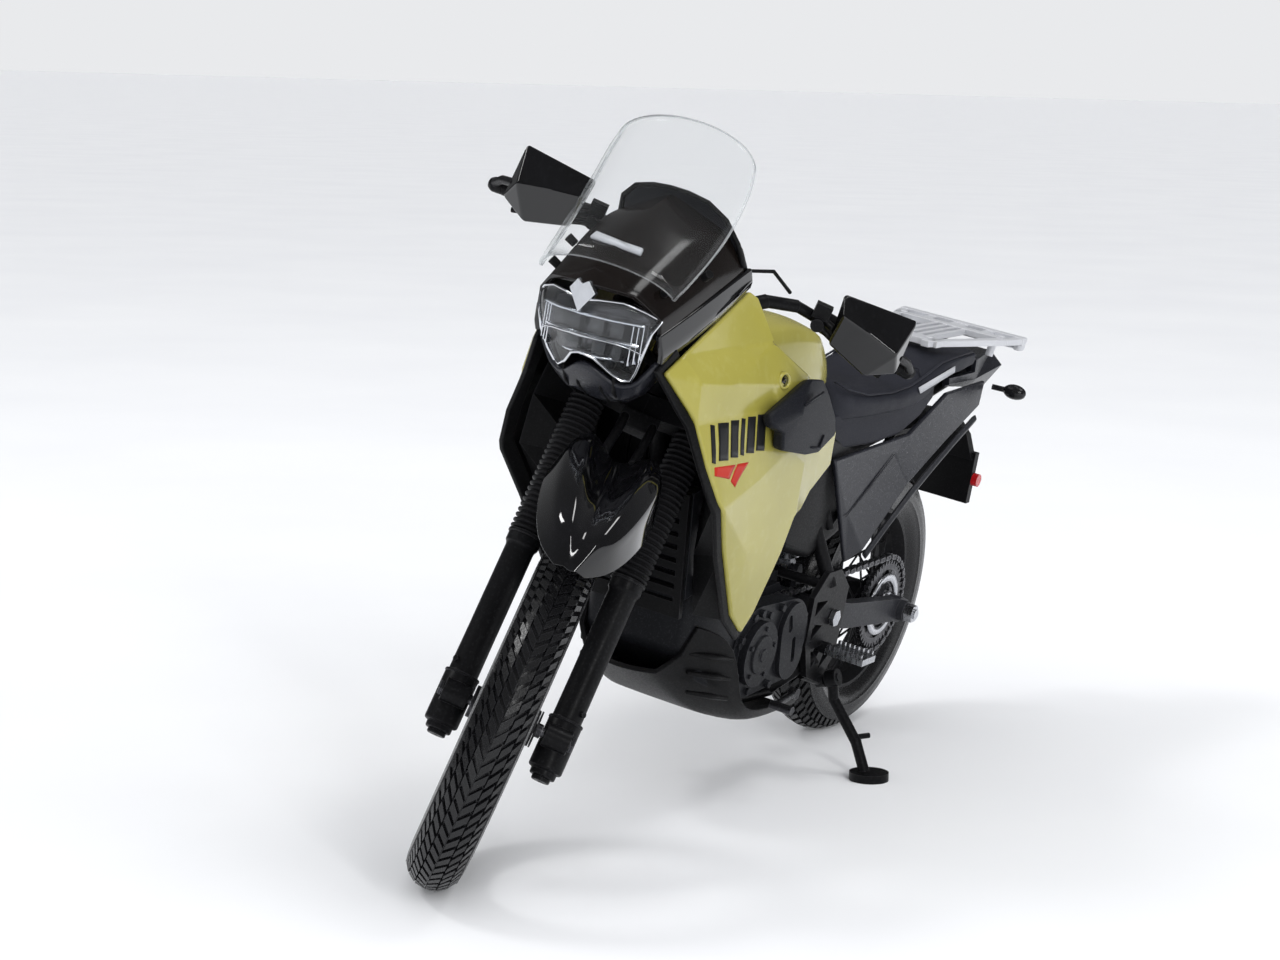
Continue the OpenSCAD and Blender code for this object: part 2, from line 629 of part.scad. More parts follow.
module turn_signals() {
  color("#151515") posed() for (s = [-1, 1]) {
    rod(side([-92, 10, 68.6], s), side([-92.6, 13.4, 68.6], s), 0.55);
    translate(side([-92.6, 14.6, 68.6], s)) rotate([s * 90, 0, 0]) rotate_extrude()
      polygon(concat([[0, -2.4]], [for (a = [-60:15:60]) [1.5 * cos(a), 2.4 * sin(a)]], [[0, 2.4]]));
  }
}

// ---- foot controls ----

module rider_pegs() {
  color("#9a9ca0") posed() for (s = [-1, 1]) {
    y0 = s > 0 ? 14.35 : -22;
    y1 = s > 0 ? 22 : -14.35;
    block([-31, y0, 26], [-25.6, y1, 27.2]);
    for (i = [0:7], x = [-30.9, -26.3]) {
      y = y0 + 0.3 + i * 0.92;
      block([x, y, 27.1], [x + 0.6, y + 0.45, 27.9]);
    }
  }
}

module shift_lever() {
  color("#2f3033") posed() {
    cross_bar(-16.2, 20.4, 13.3, 14.9, 1);
    rod([-16.2, 14.3, 20.4], [-6, 15.6, 20.6], 0.6);
    rod([-6, 14.8, 20.6], [-6, 19, 20.6], 0.8);
  }
}

module brake_pedal() {
  color("#2f3033") posed() {
    cross_bar(-22, 19.4, -14.6, -13, 1);
    rod([-22, -14, 19.4], [-6, -15.6, 20], 0.6);
    block([-8, -19, 19.6], [-5, -15, 20.6]);
  }
}

// ---- front end ----

hub_half = 3.85;
hub_long = 5.4;
front_axle_r = 0.8;
leg_y = fork_spacing / 2;

module clamp(low, high, edge) {
  difference() {
    translate([0, 0, low]) linear_extrude(high - low) {
      for (s = [-1, 1]) slot_shape([0, 0], [fork_offset, s * leg_y], edge, edge);
    }
    for (s = [-1, 1]) translate([fork_offset, s * leg_y, low - 1]) cylinder(h = 6, r = tube_r + 0.03);
  }
}

module lower_clamp() {
  color("#1a1b1d") posed() steered() fork_space() {
    clamp(83.4, 86.9, 3.1);
    translate([0, 0, 84]) cylinder(h = 17, r = stem_r);
  }
}

module upper_clamp() {
  color("#1a1b1d") posed() steered() fork_space() difference() {
    clamp(97, 99.4, 3.1);
    translate([0, 0, 96]) cylinder(h = 6, r = stem_r + 0.03);
  }
}

module fork_tubes() {
  color("#2c2d30") posed() steered() fork_space() for (s = [-1, 1])
    translate([fork_offset, s * leg_y, 40]) cylinder(h = 61, r = tube_r);
}

module fork_leg(s) {
  color("#1c1d1f") posed() steered() fork_space() difference() {
    union() {
      translate([fork_offset, s * leg_y, 0]) {
        translate([0, 0, 33]) cylinder(h = 23.5, r = 2.35);
        translate([0, 0, 56]) cylinder(h = 2, r = 2.75);
        translate([0, 0, 24.8]) cylinder(h = 8.8, r = 2.75);
        translate([0, 0, 24]) cylinder(h = 1, r = 2);
      }
      translate([fork_offset, s * leg_y - 2.1, 26.8]) cube([axle_n - fork_offset + 1.6, 4.2, 6.6]);
      translate([axle_n, s * leg_y, axle_t]) rotate([90, 0, 0]) cylinder(h = 4.6, r = 2.5, center = true);
    }
    translate([fork_offset, s * leg_y, 36]) cylinder(h = 30, r = tube_r + run_gap);
    translate([axle_n, s * leg_y, axle_t]) rotate([90, 0, 0])
      cylinder(h = 12, r = front_axle_r + 0.03, center = true);
  }
}
module fork_leg_left() { fork_leg(1); }
module fork_leg_right() { fork_leg(-1); }

gaiter_low = 58.15;
gaiter_high = 83.2;
gaiter_folds = 15;

module fork_gaiters() {
  step = (gaiter_high - gaiter_low) / gaiter_folds;
  outline = [for (i = [0:gaiter_folds - 1]) let (z = gaiter_low + i * step)
    each [[2.35, z], [2.95, z + 0.35 * step], [2.95, z + 0.6 * step]]];
  color("#0c0d0e") posed() steered() fork_space() for (s = [-1, 1])
    translate([fork_offset, s * leg_y, 0]) rotate_extrude()
      polygon(concat(
        [[tube_r + 0.06, gaiter_low]], outline, [[2.35, gaiter_high], [tube_r + 0.06, gaiter_high]]
      ));
}

// High mudguard, as half rows from its left edge to its ridge
mudguard_rows = [
  [[80, 2.4, 60.3], [81, 1.3, 60.5], [81.4, 0, 60.6]],
  [[77, 5.4, 61.3], [78, 3.4, 64], [78.8, 0, 65.2]],
  [[71.5, 7.4, 63.5], [72, 4.8, 67.2], [72.8, 0, 68.6]],
  [[64, 8.7, 65.3], [64.2, 6, 69.2], [64.8, 0, 70.4]],
  [[57, 9, 66.7], [56.8, 6.6, 70.4], [57.2, 0, 71.2]],
  [[51, 7.1, 69.9], [50.6, 5.4, 71], [51, 0, 71.4]]
];

module front_fender() {
  outer = [for (r = mudguard_rows) mirrored(r)];
  color("#050506") posed() steered() {
    translate([0, front_set, 0]) sheet(outer, shrunk(outer, [-2, 0, 56], 0.9));
    fork_space() {
      translate([0.6, -3.2, 80.2]) cube([5.4, 6.4, 3]);
      for (s = [-1, 1]) rod([4.8, s * 2.4, 81.6], [15.4, s * 2.4 + front_set, 72.7], 0.7);
    }
  }
}

module front_axle() {
  color("#7c7f84") posed() steered() fork_space() translate([axle_n, 0, axle_t]) rotate([90, 0, 0]) {
    cylinder(h = 23.4, r = front_axle_r, center = true);
    translate([0, 0, 11.25]) cylinder(h = 1, r = 1.7, $fn = 6);
    translate([0, 0, -12.25]) cylinder(h = 1, r = 1.7, $fn = 6);
    translate([0, 0, hub_half - front_set + 0.1]) cylinder(h = 5.95 - hub_half + front_set - 0.1, r = 2.6);
    translate([0, 0, -5.95]) cylinder(h = 5.95 - hub_long - front_set - 0.1, r = 1.1);
    translate([0, 0, -5.6]) cylinder(h = 0.35, r = 1.9);
  }
}

// Bends of the left half of the handlebar, from its middle to its end
bar_points = [[21.5, 5, 91.4], [17.6, 11, 95], [15, 16, 95.8], [9.4, 35.2, 92.5]];
bar_r = 0.95;
function along(a, b, d) = a + unit(b - a) * d;
// Point on the bar at distance d inward from its end on side s
function bar_end(d, s) = side(along(bar_points[3], bar_points[2], d), s);

module handlebar() {
  color("#202124") posed() steered() {
    cross_bar(bar_points[0][0], bar_points[0][2], -5.6, 5.6, 1.35);
    for (s = [-1, 1]) {
      for (i = [0:2]) {
        a = bar_points[i];
        b = bar_points[i + 1];
        rod(side(along(a, b, -0.4), s), side(b, s), [1.2, 1.07, bar_r][i]);
      }
      rod(bar_end(0.1, s), bar_end(-0.9, s), 1.35);
      fork_space() translate([0, s * 3.4, 99.55]) cylinder(h = 5.3, r = 1.4);
    }
  }
}

module grips() {
  color("#0b0c0d") posed() steered() for (s = [-1, 1]) {
    a = bar_end(0.15, s);
    b = bar_end(10.6, s);
    difference() {
      union() {
        rod(a, b, 1.35);
        for (i = [0:9]) rod(a + (b - a) * (0.04 + i * 0.094), a + (b - a) * (0.075 + i * 0.094), 1.5);
        rod(b - unit(b - a) * 0.6, b, 1.9);
      }
      rod(a + (a - b), b + (b - a), bar_r + 0.03);
    }
  }
}

module hand_levers() {
  color("#17181a") posed() steered() for (s = [-1, 1]) {
    c = side(along(bar_points[2], bar_points[3], 4.4), s);
    e = side(along(bar_points[2], bar_points[3], 7.2), s);
    difference() {
      union() {
        rod(c, e, 1.9);
        rod(c + [1, 0, 0], c + [4, 0, -0.3], 1.1);
        block(c + [0.4, -1.4, 0.6], c + [2.9, 1.4, 3]);
      }
      rod(c + (c - e), e + (e - c), bar_r + 0.03);
    }
    pipe([c + [3.2, 0, -0.3], c + [3.4, s * 3, -1.4], c + [0.6, s * 13, -4.4]], 0.5);
  }
}

guard_points = [
  [18, 22, 101.7], [15.5, 35, 102], [16.4, 35.3, 92.5], [18, 30.5, 90.3], [18.6, 23, 92.9],
  [20.8, 23.2, 98.8], [20, 33.8, 96.3]
];
guard_tris = [[0, 6, 1], [0, 5, 6], [1, 6, 2], [2, 6, 3], [6, 4, 3], [6, 5, 4], [4, 5, 0]];

module handguards() {
  color("#0a0a0b") posed() steered() for (s = [-1, 1]) {
    panel(sides(guard_points, s), s > 0 ? guard_tris : [for (t = guard_tris) flip(t)], [-1, 0, 0]);
    rod(side([16.6, 34.4, 95.4], s), side([8.7, 38, 92.1], s), 0.7);
    rod(bar_end(-1.05, s), bar_end(-3.2, s), 1);
  }
}

// ---- wheels ----

module wheel_space(front) {
  if (front) {
    posed() steered() fork_space() translate([axle_n, front_set, axle_t]) rotate([-90, 0, 0]) children();
  } else {
    posed() translate(rear_centre) rotate([-90, 0, 0]) children();
  }
}

// Tyre with a round crown and its beads on the rim
module tyre(r, half, bead) {
  rotate_extrude($fn = 96) polygon(concat(
    [for (a = [-128:16:128]) [r - half + half * cos(a), half * sin(a)]],
    [[bead, half * 0.7], [bead, -half * 0.7]]
  ));
}

module front_tyre() {
  color("#0d0d0e") wheel_space(true) tyre(front_tyre_r, front_tyre_w / 2, front_rim_r + 0.1);
}
module rear_tyre() {
  color("#0d0d0e") wheel_space(false) tyre(rear_tyre_r, rear_tyre_w / 2, rear_rim_r + 0.1);
}

// Rim, spokes and hub moulded as one, about the axle
module rim(r, half, hub_r, hub_half, bore) {
  flange = hub_half - 0.5;
  difference() {
    union() {
      rotate_extrude($fn = 96) polygon([
        [r, -half], [r, half], [r - 0.7, half], [r - 1.1, half - 0.9], [r - 1.7, half * 0.4],
        [r - 1.7, -half * 0.4], [r - 1.1, -half + 0.9], [r - 0.7, -half]
      ]);
      cylinder(h = 2 * hub_half, r = hub_r - 1.3, center = true);
      for (s = [-1, 1]) translate([0, 0, s * flange]) cylinder(h = 0.8, r = hub_r, center = true);
      for (i = [0:spoke_count - 1]) {
        a = i * 360 / spoke_count;
        s = i % 2 == 0 ? 1 : -1;
        lead = (floor(i / 2) % 2 == 0 ? 1 : -1) * 48;
        z0 = s * (flange + (lead > 0 ? 0.18 : -0.18));
        rod([(hub_r - 0.5) * cos(a + lead), (hub_r - 0.5) * sin(a + lead), z0],
            [(r - 1.3) * cos(a), (r - 1.3) * sin(a), s * 0.5], 0.22, $fn = 8);
      }
    }
    cylinder(h = 4 * hub_half, r = bore, center = true);
  }
}

module brake_disc(r, hole, z0, z1) {
  difference() {
    translate([0, 0, z0]) cylinder(h = z1 - z0, r = r);
    translate([0, 0, z0 - 1]) cylinder(h = z1 - z0 + 2, r = hole);
    for (i = [0:23]) rotate([0, 0, i * 15]) translate([r - (i % 2 == 0 ? 0.9 : 1.9), 0, z0 - 1])
      cylinder(h = z1 - z0 + 2, r = 0.32, $fn = 16);
  }
}

module front_rim() {
  color("#2a2b2d") wheel_space(true) difference() {
    union() {
      rim(front_rim_r, front_tyre_w * 0.3, 3.4, hub_half, front_axle_r + run_gap);
      translate([0, 0, hub_half - 0.1]) cylinder(h = hub_long - hub_half + 0.1, r = 1.7);
      translate([0, 0, hub_long - 0.5]) cylinder(h = 0.5, r = 2.9);
    }
    cylinder(h = 30, r = front_axle_r + run_gap, center = true);
  }
}

rear_hub_half = 4.7;
rear_axle_r = 1;
rear_disc_r = 10;
rear_sprocket_r = 8.6;
chain_y = 6.9;

module rear_rim() {
  color("#2a2b2d") wheel_space(false) difference() {
    union() {
      rim(rear_rim_r, rear_tyre_w * 0.36, 4.6, rear_hub_half, rear_axle_r + run_gap);
      translate([0, 0, rear_hub_half - 0.1]) cylinder(h = chain_y - 0.4 - rear_hub_half + 0.1, r = 4);
      translate([0, 0, chain_y - 0.45]) cylinder(h = 0.9, r = rear_sprocket_r - 0.9);
      for (i = [0:41]) rotate([0, 0, i * 360 / 42])
        translate([rear_sprocket_r - 1.1, -0.3, chain_y - 0.35]) cube([1.1, 0.6, 0.7]);
      translate([0, 0, -6]) cylinder(h = 6 - rear_hub_half + 0.1, r = 4);
      for (i = [0:5]) rotate([0, 0, i * 60]) translate([3.4, -0.6, -6.2]) cube([4.6, 1.2, 0.7]);
      brake_disc(rear_disc_r, 7.6, -6.6, -6.15);
    }
    cylinder(h = 30, r = rear_axle_r + run_gap, center = true);
    for (i = [0:5]) rotate([0, 0, i * 60 + 30])
      translate([5.8, 0, chain_y]) cylinder(h = 2, r = 1.1, center = true);
  }
}

// ---- swingarm ----

module swingarm() {
  color("#4a4b4f") posed() difference() {
    union() {
      for (s = [-1, 1]) {
        y0 = s > 0 ? arm_in : -arm_out;
        side_plate(y0, y0 + arm_out - arm_in) {
          slot_shape([pivot[0], pivot[2]], [-40, 30], 2.5, 2.4);
          slot_shape([-40, 30], [rear_x, rear_tyre_r], 2.4, 2.2);
          slot_shape([rear_x, rear_tyre_r], [rear_x - 2.2, rear_tyre_r - 0.2], 2.5, 1.9);
        }
        end = s > 0 ? arm_out - 0.2 : -arm_out - 1.4;
        cross_bar(rear_x, rear_tyre_r, end, end + 1.6, 2);
      }
      cross_bar(pivot[0], pivot[2], -arm_in - 0.5, arm_in + 0.5, 2.2);
      block([-35.6, -arm_in - 0.5, 29.6], [-33, arm_in + 0.5, 33]);
      for (s = [-1, 1]) side_plate(s * 2.5 - 0.5, s * 2.5 + 0.5)
        polygon([[-35.4, 32.8], [-33.2, 32.8], [-32.4, 37.5], [-33, 38.5], [-34, 38.5], [-34.6, 37.5]]);
      cross_bar(shock_low[0], shock_low[2], -2.6, 2.6, shock_pin_r);
    }
    cross_bar(pivot[0], pivot[2], -20, 20, pivot_bolt_r + run_gap);
    cross_bar(rear_x, rear_tyre_r, -20, 20, rear_axle_r + 0.03);
  }
}

module rear_axle() {
  color("#7c7f84") posed() {
    cross_bar(rear_x, rear_tyre_r, -15, 15, rear_axle_r);
    cross_bar(rear_x, rear_tyre_r, 7.5, arm_in - 0.1, 1.9);
    cross_bar(rear_x, rear_tyre_r, -arm_in + 0.1, -6.8, 1.9);
    for (y = [arm_out + 1.5, -arm_out - 3.1]) translate([rear_x, y + 1.6, rear_tyre_r]) rotate([90, 0, 0])
      cylinder(h = 1.6, r = 1.8, $fn = 6);
  }
}

// ---- rear shock ----

shock_len = norm(shock_top - shock_low);
shock_lean = atan2(shock_top[0] - shock_low[0], shock_top[2] - shock_low[2]);

// Space whose z runs up the shock from its lower eye
module shock_space() {
  posed() translate(shock_low) rotate([0, shock_lean, 0]) children();
}

module eye(z, bore) {
  translate([0, 1.2, z]) rotate([90, 0, 0]) difference() {
    cylinder(h = 2.4, r = 1.7);
    translate([0, 0, -1]) cylinder(h = 5, r = bore);
  }
}

module shock_body() {
  color("#24262a") shock_space() {
    difference() {
      union() {
        translate([0, 0, 9]) cylinder(h = 12.2, r = 1.9);
        translate([0, 0, 18.6]) cylinder(h = 1, r = 3.5);
        eye(shock_len, shock_pin_r + run_gap);
      }
      translate([0, 0, 8]) cylinder(h = 10, r = 0.9 + run_gap);
      translate([0, 3, shock_len]) rotate([90, 0, 0]) cylinder(h = 6, r = shock_pin_r + run_gap);
    }
    translate([0, 0, 20.5]) cylinder(h = shock_len - 22, r = 1.2);
  }
}

module shock_rod() {
  color("#9a9da2") shock_space() {
    eye(0, shock_pin_r + 0.15);
    translate([0, 0, 1.4]) cylinder(h = 13, r = 0.9);
    translate([0, 0, 3.4]) cylinder(h = 1, r = 3.5);
  }
}

spring_low = 4.9;
spring_high = 18.1;
spring_turns = 6;
spring_r = 2.9;
spring_wire = 0.42;

module shock_spring() {
  steps = spring_turns * 16;
  at = function (i) [spring_r * cos(i * 22.5), spring_r * sin(i * 22.5),
    spring_low + (spring_high - spring_low) * i / steps];
  ring = function (i) let (out = [cos(i * 22.5), sin(i * 22.5), 0])
    [for (k = [0:5]) at(i) + spring_wire * (cos(k * 60) * out + sin(k * 60) * [0, 0, 1])];
  color("#b8bbc0") shock_space() loft([for (i = [0:steps]) ring(i)]);
}

// ---- final drive ----

chain_front_r = front_sprocket_r + 1.7;
chain_rear_r = rear_sprocket_r + 0.35;

// Side outline of the chain run, grown outward by g
module chain_outline(g) {
  slot_shape(sprocket_axis, [rear_x, rear_tyre_r], chain_front_r + g, chain_rear_r + g);
}

module drive_chain() {
  color("#5b5c60") posed() side_plate(chain_y - 0.7, chain_y + 0.7) difference() {
    chain_outline(0.9);
    chain_outline(0);
  }
}

// ---- side stand ----

module side_stand() {
  hip = leaned([-31.6, 15.4, 16.6]);
  knee = leaned([-31.4, 17.4, 14.6]);
  shin = leaned([-31, 21.6, 10.4]);
  color("#0b0c0c") difference() {
    union() {
      posed() rod(stand_pivot - stand_dir * 0.7, stand_pivot + stand_dir * 1.5, 1.6);
      pipe([leaned(stand_pivot + stand_dir * 0.3), hip, knee, shin, [0, -0.9, 1.2]], 1);
      cylinder(h = 1.5, r = foot_r);
      posed() rod([-31.2, 20.8, 11], [-34, 22.6, 11.4], 0.5);
    }
    posed() rod(stand_pivot - stand_dir * 4, stand_pivot + stand_dir * 4, stand_pin_r + run_gap);
  }
}

main_frame();
subframe();
engine_crankcase();
engine_cylinder();
engine_cover_left();
engine_cover_right();
front_sprocket();
exhaust_header();
muffler();
skid_plate();
radiator();
inner_panels();
fuel_tank();
fuel_cap();
shroud_left();
shroud_right();
shroud_pad_left();
shroud_pad_right();
nose_cowl();
headlight_housing();
headlight_reflector();
headlight_lens();
windscreen();
instrument_panel();
seat();
side_cover_left();
side_cover_right();
tail_cowl();
rear_fender();
rear_rack();
tail_light();
turn_signals();
rider_pegs();
shift_lever();
brake_pedal();
swingarm_bolt();
lower_clamp();
upper_clamp();
fork_tubes();
fork_leg_left();
fork_leg_right();
fork_gaiters();
front_fender();
front_axle();
handlebar();
grips();
hand_levers();
handguards();
front_tyre();
front_rim();
swingarm();
rear_axle();
drive_chain();
shock_body();
shock_rod();
shock_spring();
rear_tyre();
rear_rim();
side_stand();
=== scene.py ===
import json
import random
from math import asin, atan2, cos, hypot, pi, radians, sin

import bmesh
import bpy
from mathutils import Matrix, Vector


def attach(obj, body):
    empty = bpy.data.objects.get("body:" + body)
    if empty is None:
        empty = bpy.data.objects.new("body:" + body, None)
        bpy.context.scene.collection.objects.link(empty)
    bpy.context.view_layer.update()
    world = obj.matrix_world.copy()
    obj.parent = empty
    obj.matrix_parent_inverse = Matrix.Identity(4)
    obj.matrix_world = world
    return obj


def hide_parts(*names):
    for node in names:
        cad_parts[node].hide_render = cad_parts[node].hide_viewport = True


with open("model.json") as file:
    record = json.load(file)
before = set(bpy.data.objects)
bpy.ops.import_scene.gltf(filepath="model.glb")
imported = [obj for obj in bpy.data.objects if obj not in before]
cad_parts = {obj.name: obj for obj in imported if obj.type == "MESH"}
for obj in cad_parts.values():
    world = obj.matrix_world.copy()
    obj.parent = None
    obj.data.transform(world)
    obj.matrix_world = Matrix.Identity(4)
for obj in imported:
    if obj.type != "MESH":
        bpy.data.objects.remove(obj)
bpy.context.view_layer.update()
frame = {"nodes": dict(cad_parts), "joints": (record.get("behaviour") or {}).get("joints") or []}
random.seed(11)

# ---- spaces: the bike frame is x forward, y left, z up, in millimetres, zero on the ground
# mid-wheelbase ----

MM = 0.001
SIDES = (("left", 1), ("right", -1))
RAKE = radians(30)
STEER = radians(29)
REAR_AXLE = Vector((-64.125, 0, 27.2))
STEER_FOOT = Vector((74.325, 0, 0))
LEG_X, LEG_Y = 2.9, 8.8
AXLE_X, AXLE_Z = 5.667, 30.215
joints = {j["name"]: j for j in frame["joints"]}
side_dir = Vector(joints["rear_wheel_spin"]["axis"]).normalized()
head_dir = Vector(joints["steering"]["axis"]).normalized()
ahead = side_dir.cross(head_dir)
forward = ahead * cos(RAKE) - head_dir * sin(RAKE)
upward = ahead * sin(RAKE) + head_dir * cos(RAKE)
TURN = Matrix((forward, side_dir, upward)).transposed()
start = Vector(joints["rear_wheel_spin"]["pos_m"]) - TURN @ REAR_AXLE * MM
BIKE = Matrix.Translation(start) @ TURN.to_4x4() @ Matrix.Diagonal((MM, MM, MM, 1))
STEERED = (
    BIKE
    @ Matrix.Translation(STEER_FOOT)
    @ Matrix.Rotation(STEER, 4, Vector((-sin(RAKE), 0, cos(RAKE))))
    @ Matrix.Translation(-STEER_FOOT)
)
FORK = STEERED @ Matrix.Translation(STEER_FOOT) @ Matrix.Rotation(-RAKE, 4, "Y")
AXLE_DOWN = Matrix.Rotation(-pi / 2, 4, "X")
FRONT_WHEEL = FORK @ Matrix.Translation((AXLE_X, -0.7, AXLE_Z)) @ AXLE_DOWN
REAR_WHEEL = BIKE @ Matrix.Translation(REAR_AXLE) @ AXLE_DOWN


# ---- finishes ----


class Nodes:
    """Small helper that adds shader nodes and joins them."""

    def __init__(self, name):
        self.material = bpy.data.materials.new(name)
        self.material.use_nodes = True
        self.tree = self.material.node_tree
        self.tree.nodes.clear()

    def add(self, kind, inputs=None, **settings):
        node = self.tree.nodes.new("ShaderNode" + kind)
        for key, value in settings.items():
            setattr(node, key, value)
        for key, value in (inputs or {}).items():
            if isinstance(value, bpy.types.NodeSocket):
                self.tree.links.new(value, node.inputs[key])
            else:
                node.inputs[key].default_value = value
        return node

    def noise(self, vector, scale, detail=4.0):
        return self.add(
            "TexNoise", {"Vector": vector, "Scale": scale, "Detail": detail}
        ).outputs["Fac"]

    def spread(self, value, low, high, start=0.3, end=0.7):
        return self.add(
            "MapRange",
            {0: value, 1: start, 2: end, 3: low, 4: high},
        ).outputs[0]

    def mix(self, factor, a, b):
        node = self.add("Mix", data_type="RGBA")
        self.tree.links.new(factor, node.inputs[0])
        for index, value in ((6, a), (7, b)):
            if isinstance(value, bpy.types.NodeSocket):
                self.tree.links.new(value, node.inputs[index])
            else:
                node.inputs[index].default_value = (*value, 1)
        return node.outputs[2]


def finish(name, colour, shade, rough, change, grain, bump, edge_tone, edge_share, more=None):
    """Paint or metal: two tones in soft clouds, grain in roughness and height, a lighter tone along sharp
    edges.
    """
    more = dict(more or {})
    stretch = more.pop("stretch", (1, 1, 1))
    n = Nodes(name)
    place = n.add("TexCoord").outputs["Object"]
    scaled = n.add("Mapping", {"Vector": place, "Scale": [s * 1000 for s in stretch]}).outputs[0]
    clouds = n.noise(scaled, 0.09)
    fine = n.noise(scaled, grain, 6.0)
    tone = n.mix(n.spread(clouds, 0, 1), colour, shade)
    # a lighter tone mixed in along sharp edges, where the bevel normal parts from the face normal; fine
    # grain breaks the line up
    if edge_tone:
        edge = n.add("Bevel", {"Radius": 0.00018}, samples=4).outputs[0]
        flat = n.add("NewGeometry").outputs["Normal"]
        same = n.add("VectorMath", {0: edge, 1: flat}, operation="DOT_PRODUCT").outputs["Value"]
        edge_mask = n.add("Math", {0: same, 1: n.spread(fine, -0.03, 0.02)}, operation="ADD").outputs[0]
        tone = n.mix(n.spread(edge_mask, edge_share, 0.0, 0.93, 0.99), tone, edge_tone)
    height = n.add(
        "Bump", {"Strength": 1.0, "Distance": bump * MM, "Height": fine}
    ).outputs[0]
    inputs = {
        "Base Color": tone,
        "Roughness": n.spread(fine, rough - change, rough + change),
        "Normal": height,
    }
    inputs.update(more)
    if "Metallic" not in more:
        inputs.setdefault("Specular IOR Level", 0.13 if rough > 0.3 else 0.42)
    shader = n.add("BsdfPrincipled", inputs).outputs[0]
    n.add("OutputMaterial", {"Surface": shader})
    return n.material


def clear(name, tint, edge_tint, haze, gloss=0.03):
    """Thin clear plastic: see-through face on, brighter where it is seen edge on, with faint haze."""
    n = Nodes(name)
    place = n.add("TexCoord").outputs["Object"]
    scaled = n.add("Mapping", {"Vector": place, "Scale": (1000, 1000, 1000)}).outputs[0]
    clouds = n.noise(scaled, 0.15)
    facing = n.add("LayerWeight", {"Blend": 0.35}).outputs["Facing"]
    colour = n.mix(n.spread(facing, 0.0, 1.0, 0.55, 1.0), tint, edge_tint)
    through = n.add("BsdfTransparent", {"Color": colour}).outputs[0]
    shine = n.add(
        "BsdfGlossy", {"Color": (1, 1, 1, 1), "Roughness": n.spread(clouds, gloss, gloss + 0.05)}
    ).outputs[0]
    milk = n.add("BsdfDiffuse", {"Color": (0.8, 0.82, 0.84, 1)}).outputs[0]
    body = n.add(
        "MixShader", {0: n.spread(clouds, haze * 0.6, haze * 1.4), 1: through, 2: milk}
    ).outputs[0]
    away = n.add("LayerWeight", {"Blend": 0.5}).outputs["Facing"]
    steep = n.add("Math", {0: away, 1: 5.0}, operation="POWER").outputs[0]
    mirror = n.add("Math", {0: steep, 1: 0.6, 2: 0.018}, operation="MULTIPLY_ADD").outputs[0]
    shader = n.add("MixShader", {0: mirror, 1: body, 2: shine}).outputs[0]
    n.add("OutputMaterial", {"Surface": shader})
    return n.material
